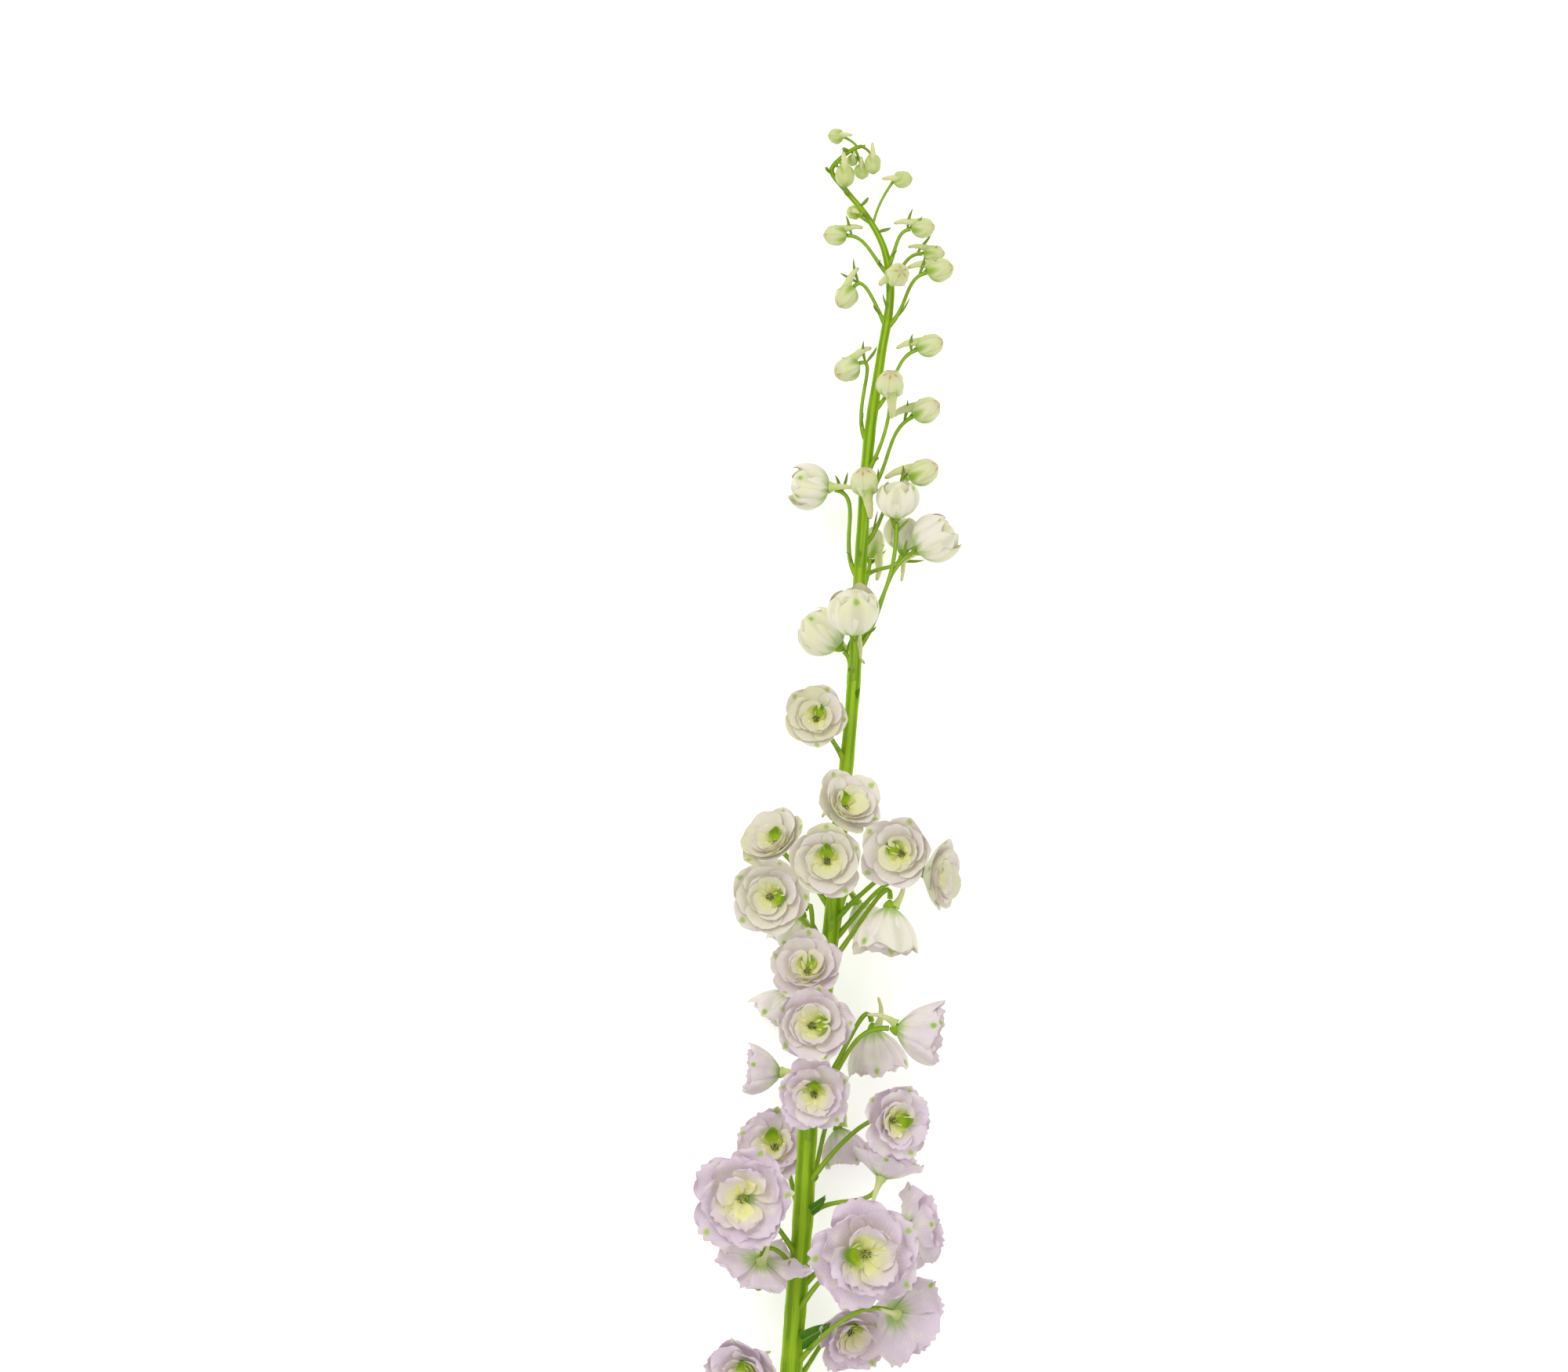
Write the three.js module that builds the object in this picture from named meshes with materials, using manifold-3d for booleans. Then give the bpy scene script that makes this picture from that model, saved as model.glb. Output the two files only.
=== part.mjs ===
// A cut spike of double delphinium, lying on a table: a ribbed stem with its pedicels, bracts and
// tip buds, closed buds below them, half-open cups, and open double blooms down to the bare stalk.
// Millimetres and degrees. +Y runs along the spike to its tip, +Z is up and the table is z = 0.

import * as THREE from 'three';
import { mergeGeometries, mergeVertices } from 'three/addons/utils/BufferGeometryUtils.js';
import Module from 'manifold-3d';

const wasm = await Module();
wasm.setup();

// ---------------------------------------------------------------- driving dimensions

const TABLE_REACH = 1000; // side of the block that flattens what presses on the table
const SEAT_GAP = 0.3; // clearance between a pedicel's end and the floret that it carries
const SMOOTHING = 0.12; // edges shorter than this are closed up once pieces are joined

const STEM_SIDES = 10;
const STEM_STEPS = 26;
const STEM_GRADING = 1.9; // how strongly the steps crowd towards the nodding tip
const STEM_CLIMB = 0.93; // share of the stem's length below the part that nods
const FRAME_STEPS = 240;
const RIB_DEPTH = 0.14; // share of the stem's radius that the furrows between its ribs take away

const PEDICELS = {
  bud: { sides: 5, steps: 3, radius: 0.9 },
  cup: { sides: 5, steps: 4, radius: 1.0 },
  bloom: { sides: 4, steps: 4, radius: 1.15 },
};
const PEDICEL_FLARE = { foot: 0.6, end: 0.25 }; // added to the radius there, against its middle
const PEDICEL_ROOTING = 0.5; // share of the stem's radius where a pedicel starts
const PEDICEL_LEAVING = { out: 0.6, up: 0.8 }; // its direction as it leaves the stem
const PEDICEL_BOW = { foot: 0.42, end: 0.35 }; // reach of its curve's handles, against its span

const BRACT = { length: 11, width: 2.2, thickness: 1.2, at: 0.14 }; // share of the pedicel
const BRACTEOLE = { length: 5, width: 1.8, thickness: 1.0, at: 0.8, splay: 0.8 };
const BRACT_BOW = 0.12; // how far a bract's tip bends up, against its length
const LEAF_THICKNESS = 1.5;

const OUTER_PETALS = 5;
const INNER_PETALS = 3;
const OUTER_ROWS = 3;
const INNER_ROWS = 2;
const INNER_TURN = 20; // the inner ring's turn from the outer one
const INNER_WIDTH = 0.8; // against the outer petals' width
const LENGTH_STRAY = 0.05; // how far petal lengths differ, either way
const PETAL_THICKNESS = 1.0; // at the midrib, thinning to the margin
const PETAL_WIDEST = 0.62; // where along its length a petal is widest
const PETAL_CLAW = 2.6; // how slender a petal stays near its root
const PETAL_TIP_SQUARENESS = 0.76;
const PETAL_HOLLOW = 0.12; // how far the sides lift, against half the width
const PETAL_OVERLAP = 0.22; // how far one side rides over the next petal, against half the width
const ROOT_RING = 0.05; // radius of the ring that the petals grow from, against a petal's length

const RECEPTACLE = { radius: 0.145, depth: 0.8 }; // radius against a petal's length, then flatness
const HEART = { radius: 0.15, centre: 0.44, half: 0.4 }; // folded petals, against a petal's length
const EYE = { lobes: 4, lobeDepth: 0.22, radius: 0.18, height: 0.3, waist: 0.62, hollow: 0.55 };
const SPUR = { length: 16, root: 1.9, offset: 5 }; // the horn behind a cup or a bloom
const SPUR_SIDES = 4;
const SPUR_TAPER = 0.68;
const SPUR_LINE = [[0.55, 0], [1, 0.3], [1.25, 0.65], [1.1, 1]]; // share of offset, share of length
const BUD = { lobes: 5, lobeDepth: 0.06, taper: 0.16, rings: 4 }; // sepals folded over each other
const BUD_SPUR = { length: 1.1, root: 0.24, offset: 0.36, start: -0.12 }; // against the bud's size
const TIP_BUD = { sides: 7, rings: 4, spur: 0.9, stalk: 0.7, depth: 0.4, bow: 0.35 };

// How each kind of floret holds its petals: the angle above the disc at root and at tip, the width
// against the length, and how far the petals stray from the rule.
const FORMS = {
  cup: { rise: [14, 112], width: 0.66, stray: 1.2 },
  bell: { rise: [34, 78], width: 0.74, stray: 1.2 },
  bowl: { rise: [30, 24], width: 1.06, stray: 3, inner: { rise: [54, 40], length: 0.62 } },
  open: { rise: [24, 4], width: 1.04, stray: 3, inner: { rise: [46, 24], length: 0.66 } },
  star: { rise: [18, -20], width: 0.8, stray: 3, inner: { rise: [42, 12], length: 0.66 } },
};

// The stem's centre line and radius from the cut end to the nodding tip: x, y, z, radius.
const STEM_LINE = [
  [-35, -410, 5.2, 5.9],
  [-31, -360, 10, 5.9],
  [-27, -310, 15.5, 5.8],
  [-22, -262, 21.5, 5.7],
  [-18.5, -208, 27, 5.6],
  [-14, -152, 31, 5.2],
  [-11, -100, 33, 4.8],
  [-5, -50, 34, 4.4],
  [1, 2, 34, 4.1],
  [6.5, 62, 34, 3.8],
  [12, 122, 33, 3.4],
  [16, 190, 31, 3.2],
  [20, 248, 29, 3.0],
  [26, 290, 27, 2.5],
  [31, 324, 25, 2.1],
  [28, 346, 24, 1.8],
  [20, 362, 23, 1.6],
  [8.8, 376, 22, 1.5],
  [0.8, 387, 22, 1.3],
  [5.2, 393, 22, 1.2],
  [12.8, 398.4, 22, 1.1],
  [18, 400, 21, 1.0],
];

// Closed buds: name, centre, facing, side of the spur, length, width, y of the pedicel's foot.
const BUDS = [
  ['bud_01', [2.8, 353.6, 24], [-1, 0, 0.2], [0, 1, 0], 12, 10, 334],
  ['bud_02', [47.6, 357.2, 26], [1, 0.1, 0.1], [0, 1, 0.3], 12, 10, 339],
  ['bud_03', [53.5, 344.8, 16], [1, 0, 0], [0, 1, 0], 11, 8.5, 328],
  ['bud_04', [56.4, 335.5, 28], [1, 0.2, 0.2], [0, 1, 0], 13.5, 11.5, 307],
  ['bud_05', [34.4, 332, 41], [0.3, 0.25, 1], [-1, -0.2, 0], 13, 11.5, 310],
  ['bud_06', [8.4, 322, 24], [-0.6, -0.8, 0.2], [0.3, 1, 0], 13, 11, 308],
  ['bud_07', [51.2, 296.8, 28], [1, 0.35, 0.2], [-0.3, 1, 0], 14, 11, 264],
  ['bud_08', [8.8, 284.4, 31], [-0.8, -0.4, 0.35], [0.3, 1, 0], 14, 12, 248],
  ['bud_09', [30.8, 276, 45], [0, 0.75, 0.7], [0.1, 0, 1], 15, 13.5, 232],
  ['bud_10', [49.2, 263.6, 29], [1, 0.5, 0.25], [-0.3, 1, 0], 15, 12.5, 220],
  ['bud_11', [47.6, 231.6, 32], [1, 0.45, 0.2], [-0.3, 1, 0], 16, 13, 194],
  ['bud_12', [17.6, 226, 45], [-0.1, 0.8, 0.6], [0.1, 0, 1], 16, 13.5, 182],
  ['bud_13', [22, 196, 5.6], [0.1, 0.9, -0.05], [1, 0, 0.4], 16, 12, 160],
];

// Tip buds, green as the stem that they grow on: centre, facing, length, width, and the share of
// the stem's length where the stalk grows.
const TIP_BUDS = [
  [[3.2, 404.8, 22], [-1, 0.05, 0.1], 8, 7.5, 0.995],
  [[7.6, 384, 26], [0.1, -1, 0.3], 12, 9.5, 0.977],
  [[22, 390.4, 23], [0.05, -1, 0.1], 10.5, 8, 0.995],
  [[16.4, 387, 17], [0.1, -1, -0.2], 8, 7.5, 0.993],
  [[11.6, 392.6, 18], [-0.2, -1, -0.4], 6, 5.5, 0.99],
  [[37.2, 382.4, 23], [1, 0.05, 0.1], 10, 8.5, 0.93],
  [[12.4, 366, 15], [-0.5, 0.4, -0.8], 8, 7, 0.93],
];

// Cups and blooms: name, form, throat, facing, side of the spur, petal length, pedicel foot's y.
const FLORETS = [
  ['cup_01', 'cup', [34, 208, 44], [0, 1, 0.3], [-0.6, 0, -1], 22, 146],
  ['cup_02', 'cup', [36.8, 191.6, 26], [0.1, 1, 0], [0.3, 0, -1], 20, 177],
  ['cup_03', 'cup', [44, 191.5, 40], [0.85, 0.55, 0.1], [0.3, 0, -1], 26, 142],
  ['cup_04', 'cup', [-0.5, 223, 31], [-1, 0.15, 0.1], [0, 0.4, 1], 23, 178],
  ['cup_05', 'cup', [12.2, 148.5, 49], [-0.05, 1, 0.35], [0.5, 0, -1], 28, 124],
  ['cup_06', 'cup', [4.5, 142, 25], [-0.75, 0.65, 0], [0.4, 0.3, -1], 27, 118],
  ['bloom_01', 'bowl', [-6.8, 105.2, 47], [-0.1, 0.15, 1], [0.5, 1, 0], 16, 84],
  ['bloom_02', 'bowl', [5.5, 58, 49], [0.45, 0.5, 0.75], [-0.3, 1, 0], 17.5, 26],
  ['bloom_03', 'bowl', [-1.6, 33.6, 66], [-0.05, 0.05, 1], [0, 1, 0], 18.5, -4],
  ['bloom_04', 'bowl', [-29.6, 14.8, 52], [-0.15, 0, 1], [1, 0, 0], 19, -14],
  ['bloom_05', 'bowl', [-26, 39, 30], [-0.4, 0.5, 0.6], [0, 1, 0], 17, 8],
  ['bloom_06', 'bowl', [36.4, 36.8, 57], [-0.25, 0.1, 1], [-0.8, 0.6, 0], 18, 2],
  ['bloom_07', 'bowl', [48, 25, 31], [0.9, -0.05, 0.35], [0, 1, 0], 18, -8],
  ['bloom_08', 'bell', [30, 10, 54], [-0.1, -1, 0.12], [1, 0, -0.1], 30, -20],
  ['bloom_09', 'bell', [14, 10, 11], [0.5, -1, 0], [0, 0, -1], 20, -30],
  ['bloom_10', 'bell', [-14, 4, 18], [-0.4, -1, -0.1], [-1, 0, 0], 22, -36],
  ['bloom_11', 'bowl', [-11.2, -25, 50], [-0.1, 0.55, 0.85], [0, 1, 0], 18, -62],
  ['bloom_12', 'bowl', [-8.8, -50, 70], [0, 0.1, 1], [1, 0.1, 0], 20, -84],
  ['bloom_13', 'open', [-8.4, -84, 60], [0, -0.15, 1], [0, 1, 0], 18, -112],
  ['bloom_14', 'bell', [-25, -76, 39], [-1, 0.1, 0.05], [0, 0.3, 1], 23, -106],
  ['bloom_15', 'bell', [33.5, -53, 50], [1, -0.12, 0.12], [0, 1, 0], 30, -92],
  ['bloom_16', 'bell', [22, -54, 23], [0.15, -1, -0.05], [1, 0, 0.4], 28, -88],
  ['bloom_17', 'open', [30, -98, 60], [0.5, -0.05, 0.85], [1, 0, 0], 19, -132],
  ['bloom_18', 'bowl', [26, -130, 38.5], [0.35, 1, -0.1], [0, 0.3, 1], 20, -150],
  ['bloom_19', 'open', [15.6, -164.4, 76], [0.2, 0, 1], [-1, 0.05, 0], 27, -198],
  ['bloom_20', 'open', [38, -156, 44], [0.75, 0.1, -0.4], [0, 1, 0], 20.5, -186],
  ['bloom_21', 'open', [32, -197, 50], [0.6, -0.3, -0.6], [0, 0, 1], 23, -226],
  ['bloom_22', 'bowl', [9, -208, 20], [0.3, -0.4, 0.8], [0, 1, 0], 19, -236],
  ['bloom_23', 'open', [-43.6, -138, 58], [-0.1, 0, 1], [1, 0, 0], 24.5, -170],
  ['bloom_24', 'star', [-35.5, -170, 47], [-0.2, -0.75, -0.5], [0.3, 0.4, 1], 24, -178],
  ['bloom_25', 'open', [-27, -116, 13.5], [-0.3, 0.25, 0.9], [0, 1, 0], 20, -150],
  ['bloom_26', 'bowl', [-38, -228, 42], [-0.5, -0.2, 0.8], [0, 1, 0], 22, -256],
  ['bloom_27', 'bowl', [6, -248, 48], [0.4, -0.3, 0.85], [-1, 0, 0], 22, -270],
  ['bloom_28', 'bell', [-20, -36, 12], [-0.6, -0.7, 0], [-1, 0, 0], 24, -72],
  ['bloom_29', 'bell', [4, -106, 12], [0.3, -0.9, 0], [1, 0, 0], 24, -140],
];

// Blooms open so far that their eye, the small yellow petals in the throat, is a separate piece.
const EYED = ['01', '03', '04', '06', '11', '12', '13', '17', '19', '23', '27'];

// Long green bracts and leaves on the lower stem: foot's y, direction, length, width.
const LEAVES = [
  [-218, [1, 0.9, 0.5], 30, 10],
  [-150, [0.9, 0.9, 0.6], 22, 5.3],
  [64, [1, 0.15, 0.5], 16, 2.6],
  [112, [0.5, 0.9, 0.3], 12, 2.4],
  [-246, [-1, 0.8, 0.3], 26, 7.4],
  [-286, [0.6, 1, 0.8], 34, 10],
];

// ---------------------------------------------------------------- small tools

const vec = (p) => new THREE.Vector3(...p);
const radians = THREE.MathUtils.degToRad;

// A steady draw between 0 and 1 for the nth choice made for a floret.
function draw(seed, n) {
  const value = Math.sin(seed * 12.9898 + n * 78.233) * 43758.5453;
  return value - Math.floor(value);
}

const spread = (seed, n, reach) => (draw(seed, n) * 2 - 1) * reach;

// A closed geometry as a solid that can be joined and cut.
function solid(geometry) {
  const bare = geometry.clone();
  bare.deleteAttribute('normal');
  bare.deleteAttribute('uv');
  const merged = mergeVertices(bare, 1e-4);
  const index = [...merged.index.array];
  const whole = [];
  for (let i = 0; i < index.length; i += 3) {
    const [a, b, c] = index.slice(i, i + 3);
    if (a !== b && b !== c && a !== c) whole.push(a, b, c);
  }
  const mesh = new wasm.Mesh({
    numProp: 3,
    vertProperties: new Float32Array(merged.attributes.position.array),
    triVerts: new Uint32Array(whole),
  });
  return new wasm.Manifold(mesh);
}

// The largest body of what is left once the solids are joined.
function fused(solids) {
  const bodies = wasm.Manifold.union(solids).simplify(SMOOTHING).decompose();
  bodies.sort((a, b) => b.volume() - a.volume());
  return bodies[0];
}

function geometryOf(body) {
  const mesh = body.getMesh();
  const geometry = new THREE.BufferGeometry();
  geometry.setAttribute('position', new THREE.BufferAttribute(mesh.vertProperties, 3));
  geometry.setIndex([...mesh.triVerts]);
  geometry.computeVertexNormals();
  return geometry;
}

// A closed tube bent along a curve, with a radius for every share of its length. The roundness
// takes the angle about the tube and gives the share of the radius there. A grading above 1 sets
// the steps closer and closer towards the far end.
function tube(curve, radiusAt, sides, steps, roundness = () => 1, grading = 1) {
  const geometry = new THREE.CylinderGeometry(1, 1, 1, sides, steps);
  const position = geometry.attributes.position;
  const frames = curve.computeFrenetFrames(FRAME_STEPS, false);
  for (let i = 0; i < position.count; i += 1) {
    const share = 1 - (0.5 - position.getY(i)) ** grading;
    const step = Math.round(share * FRAME_STEPS);
    const across = Math.hypot(position.getX(i), position.getZ(i));
    const angle = Math.atan2(position.getZ(i), position.getX(i));
    const radius = across * radiusAt(share) * roundness(angle);
    const place = curve.getPointAt(share);
    place.addScaledVector(frames.normals[step], Math.cos(angle) * radius);
    place.addScaledVector(frames.binormals[step], -Math.sin(angle) * radius);
    position.setXYZ(i, place.x, place.y, place.z);
  }
  return geometry;
}

// A blade with sharp margins over a surface of (across -1..1, along 0..1), alike on both faces.
function blade(surface, rows, thickness) {
  const faces = [1, -1].map((side) => {
    const sheet = new THREE.PlaneGeometry(2, 1, 2, rows);
    const position = sheet.attributes.position;
    for (let i = 0; i < position.count; i += 1) {
      const across = position.getX(i);
      const along = position.getY(i) + 0.5;
      const { point, normal } = surface(across, along);
      const inside = Math.abs(across) < 0.5 && along > 1e-6 && along < 1 - 1e-6;
      point.addScaledVector(normal, inside ? (side * thickness) / 2 : 0);
      position.setXYZ(i, point.x, point.y, point.z);
    }
    if (side < 0) sheet.setIndex([...sheet.index.array].reverse());
    return sheet;
  });
  return mergeGeometries(faces);
}

// The rotation and place of a floret: its own +Z faces out and its own +Y holds the spur.
function placing(at, facing, spurSide) {
  const z = vec(facing).normalize();
  const y = vec(spurSide);
  y.addScaledVector(z, -y.dot(z)).normalize();
  const x = new THREE.Vector3().crossVectors(y, z);
  return new THREE.Matrix4().makeBasis(x, y, z).setPosition(vec(at));
}

// ---------------------------------------------------------------- petals

function petalOutline(along) {
  const rising = Math.sin((Math.PI / 2) * Math.min(along / PETAL_WIDEST, 1)) ** PETAL_CLAW;
  const closing = Math.max(0, (along - PETAL_WIDEST) / (1 - PETAL_WIDEST));
  return rising * Math.sqrt(1 - PETAL_TIP_SQUARENESS * closing * closing);
}

// A petal's surface in its floret's own frame. It leaves the root ring at rise[0] above the disc
// and bends evenly to rise[1] at the tip, with its sides lifted and one side over its neighbour.
function petalSurface({ angle, length, width, rise, root }) {
  const [start, end] = rise.map(radians);
  const bend = end - start;
  const out = new THREE.Vector3(Math.cos(angle), Math.sin(angle), 0);
  const side = new THREE.Vector3(out.y, -out.x, 0);
  return (across, along) => {
    const slope = start + bend * along;
    const reach = root + (length * (Math.sin(slope) - Math.sin(start))) / bend;
    const half = (width / 2) * petalOutline(along);
    const normal = out.clone().multiplyScalar(-Math.sin(slope));
    normal.z = Math.cos(slope);
    const wrap = (half * across) ** 2 * (Math.sin(Math.max(slope, 0)) / (2 * reach));
    const lift = wrap + half * (PETAL_HOLLOW * across * across + PETAL_OVERLAP * across);
    const point = out.clone().multiplyScalar(reach);
    point.z = (length * (Math.cos(start) - Math.cos(slope))) / bend;
    point.addScaledVector(side, across * half).addScaledVector(normal, lift);
    return { point, normal };
  };
}

// A ring of like petals, each straying a little from the even spacing, length and rise.
function petalRing(seed, count, rows, length, width, rise, turn, stray) {
  return Array.from({ length: count }, (_, i) => {
    const petal = {
      angle: radians(turn + (360 * i) / count + spread(seed, 10 * i + 1, stray)),
      length: length * (1 + spread(seed, 10 * i + 2, LENGTH_STRAY)),
      width,
      rise: rise.map((angle) => angle + spread(seed, 10 * i + 3, stray)),
      root: length * ROOT_RING,
    };
    return solid(blade(petalSurface(petal), rows, PETAL_THICKNESS));
  });
}

// ---------------------------------------------------------------- floret bodies

// A round body stood on +Z, with every point moved by a rule of its place on the unit sphere.
function rounded(sides, rings, moved) {
  const body = new THREE.SphereGeometry(1, sides, rings);
  body.rotateX(Math.PI / 2);
  const position = body.attributes.position;
  for (let i = 0; i < position.count; i += 1) {
    const [x, y, z] = [position.getX(i), position.getY(i), position.getZ(i)];
    position.setXYZ(i, ...moved(x, y, z, Math.atan2(y, x)));
  }
  return solid(body);
}

// The hollow horn behind a floret, beside its pedicel.
function spur(length, root, offset, start) {
  const line = SPUR_LINE.map(([aside, down]) => vec([0, offset * aside, start - length * down]));
  const curve = new THREE.CatmullRomCurve3(line);
  return solid(tube(curve, (share) => root * (1 - SPUR_TAPER * share), SPUR_SIDES, 2));
}

function budSolid(length, width, sides, rings, spurLength) {
  const body = rounded(sides, rings, (x, y, z, angle) => {
    const lobe = 1 - BUD.lobeDepth * (1 - Math.cos(angle * BUD.lobes));
    const fullness = (width / 2) * lobe * (1 - BUD.taper * z);
    return [x * fullness, y * fullness, (z * length) / 2];
  });
  const { root, offset, start } = BUD_SPUR;
  return fused([body, spur(length * spurLength, width * root, width * offset, length * start)]);
}

// The still folded inner petals of a cup or a bell: a lobed ovoid inside the ring of outer ones.
function heart(length) {
  return rounded(BUD.lobes, 4, (x, y, z, angle) => {
    const lobe = 1 - 2 * BUD.lobeDepth * (1 - Math.cos(angle * BUD.lobes));
    const reach = length * HEART.radius * lobe;
    return [x * reach, y * reach, length * (HEART.centre + HEART.half * z)];
  });
}

// The small inner petals round the stamens, joined at their base into one lobed trumpet.
function eyeSolid(length) {
  const base = length * RECEPTACLE.radius * RECEPTACLE.depth + SEAT_GAP;
  return rounded(EYE.lobes * 2, 5, (x, y, z, angle) => {
    const lobe = 1 + EYE.lobeDepth * Math.cos(angle * EYE.lobes);
    const flare = length * EYE.radius * lobe * (EYE.waist + z / 2);
    const height = length * EYE.height * (z > 0.9 ? EYE.hollow : (z + 1) / 2);
    return [x * flare, y * flare, base + height];
  });
}

function floretSolid(form, length, seed) {
  const { rise, width, stray, inner } = FORMS[form];
  const wide = length * width;
  const { radius, depth } = RECEPTACLE;
  const solids = petalRing(seed, OUTER_PETALS, OUTER_ROWS, length, wide, rise, 90, stray);
  if (inner) {
    const short = length * inner.length;
    const narrow = wide * INNER_WIDTH;
    solids.push(
      ...petalRing(seed + 50, INNER_PETALS, INNER_ROWS, short, narrow, inner.rise, INNER_TURN, stray),
    );
  } else {
    solids.push(heart(length));
  }
  const core = length * radius;
  solids.push(rounded(5, 3, (x, y, z) => [x * core, y * core, z * core * depth]));
  solids.push(spur(SPUR.length, SPUR.root, SPUR.offset, 0));
  return fused(solids);
}

// ---------------------------------------------------------------- stem

const stemPoints = STEM_LINE.map(([x, y, z]) => vec([x, y, z]));
const stemCurve = new THREE.CatmullRomCurve3(stemPoints, false, 'centripetal');

// How far along the stem each point of its line is.
const stemReach = [0];
stemPoints.slice(1).forEach((point, i) => {
  stemReach.push(stemReach[i] + point.distanceTo(stemPoints[i]));
});
const stemShares = stemReach.map((reach) => reach / stemReach.at(-1));

function stemRadiusAt(share) {
  const after = Math.max(1, stemShares.findIndex((s) => s >= Math.min(share, 1)));
  const [from, to] = [stemShares[after - 1], stemShares[after]];
  const [thick, thin] = [STEM_LINE[after - 1][3], STEM_LINE[after][3]];
  return THREE.MathUtils.mapLinear(share, from, to, thick, thin);
}

// The share of the stem's length at a height below the nodding tip.
function stemShareAt(y) {
  let low = 0;
  let high = STEM_CLIMB;
  while (high - low > 1e-6) {
    const middle = (low + high) / 2;
    if (stemCurve.getPointAt(middle).y < y) low = middle;
    else high = middle;
  }
  return low;
}

function mainStem() {
  const ribs = (angle) => 1 - RIB_DEPTH * (0.5 - 0.5 * Math.cos((angle * STEM_SIDES) / 2));
  return solid(tube(stemCurve, stemRadiusAt, STEM_SIDES, STEM_STEPS, ribs, STEM_GRADING));
}

// The pedicel's line: out of the stem and up it, then into the floret's back the way it faces.
function pedicelCurve(footY, back, facing) {
  const share = stemShareAt(footY);
  const foot = stemCurve.getPointAt(share);
  const along = stemCurve.getTangentAt(share);
  const span = back.distanceTo(foot);
  const out = back.clone().sub(foot);
  out.addScaledVector(along, -out.dot(along)).normalize();
  foot.addScaledVector(out, stemRadiusAt(share) * PEDICEL_ROOTING);
  const leaving = out.multiplyScalar(PEDICEL_LEAVING.out).addScaledVector(along, PEDICEL_LEAVING.up);
  const arriving = vec(facing).normalize();
  return new THREE.CubicBezierCurve3(
    foot,
    foot.clone().addScaledVector(leaving.normalize(), span * PEDICEL_BOW.foot),
    back.clone().addScaledVector(arriving, -span * PEDICEL_BOW.end),
    back,
  );
}

function pedicel(curve, { sides, steps, radius }) {
  const flare = (share) => 1 + PEDICEL_FLARE.foot * (1 - share) ** 5 + PEDICEL_FLARE.end * share ** 8;
  return solid(tube(curve, (share) => radius * flare(share), sides, steps));
}

// A narrow pointed blade from a foot, three-sided and a little bowed.
function bract(foot, direction, { length, width, thickness }) {
  const body = new THREE.ConeGeometry(1, 1, 3);
  const position = body.attributes.position;
  const up = new THREE.Vector3(0, 1, 0);
  const turn = new THREE.Quaternion().setFromUnitVectors(up, direction.clone().normalize());
  for (let i = 0; i < position.count; i += 1) {
    const share = position.getY(i) + 0.5;
    const place = vec([
      (position.getX(i) * width) / Math.sqrt(3),
      share * length,
      (position.getZ(i) * thickness) / 1.5 + BRACT_BOW * length * share * share,
    ]);
    place.applyQuaternion(turn).add(foot);
    position.setXYZ(i, place.x, place.y, place.z);
  }
  return solid(body);
}

// The bract at a pedicel's foot and the two bracteoles under its floret.
function bractsOn(curve, seed) {
  const leaving = curve.getTangentAt(BRACT.at);
  leaving.x += spread(seed, 1, 0.3);
  leaving.z += 0.25 + spread(seed, 2, 0.3);
  const grown = [bract(curve.getPointAt(BRACT.at), leaving, BRACT)];
  [1, -1].forEach((side) => {
    const share = BRACTEOLE.at + spread(seed, 3 + side, 0.05);
    const direction = curve.getTangentAt(share).normalize();
    const aside = new THREE.Vector3(direction.y, -direction.x, 0.3).normalize();
    direction.addScaledVector(aside, side * BRACTEOLE.splay);
    grown.push(bract(curve.getPointAt(share), direction, BRACTEOLE));
  });
  return grown;
}

// A green bud of the tip on a stalk of its own that droops into the bud's back.
function tipBud([at, facing, length, width, share]) {
  const foot = stemCurve.getPointAt(share);
  const ahead = vec(facing).normalize();
  const back = vec(at).addScaledVector(ahead, -length * TIP_BUD.depth);
  const middle = foot.clone().lerp(back, 0.5).addScaledVector(ahead, -length * TIP_BUD.bow);
  const stalk = new THREE.QuadraticBezierCurve3(foot, middle, back);
  const bud = budSolid(length, width, TIP_BUD.sides, TIP_BUD.rings, TIP_BUD.spur);
  const place = placing(at, facing, [0.1, 0.2, 1]);
  return [bud.transform(place.elements), solid(tube(stalk, () => TIP_BUD.stalk, 4, 3))];
}

// ---------------------------------------------------------------- assembly

const group = new THREE.Group();
const materials = {
  stem: new THREE.MeshStandardMaterial({ color: '#6f8f1c', roughness: 0.5 }),
  bud: new THREE.MeshStandardMaterial({ color: '#cdd39c', roughness: 0.55 }),
  petal: new THREE.MeshStandardMaterial({ color: '#dcd3dc', roughness: 0.6 }),
  eye: new THREE.MeshStandardMaterial({ color: '#dedb98', roughness: 0.6 }),
};

const tableGeometry = new THREE.BoxGeometry(TABLE_REACH, TABLE_REACH, TABLE_REACH);
tableGeometry.translate(0, 0, -TABLE_REACH / 2);
const table = solid(tableGeometry);

// Puts a body where it grows, pressed flat where it would sink into the table.
function stand(name, body, place, material) {
  const tableHere = table.transform(place.clone().invert().elements);
  const mesh = new THREE.Mesh(geometryOf(fused([body.subtract(tableHere)])), material);
  mesh.name = name;
  mesh.applyMatrix4(place);
  group.add(mesh);
}

const stemSolids = [mainStem()];

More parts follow.
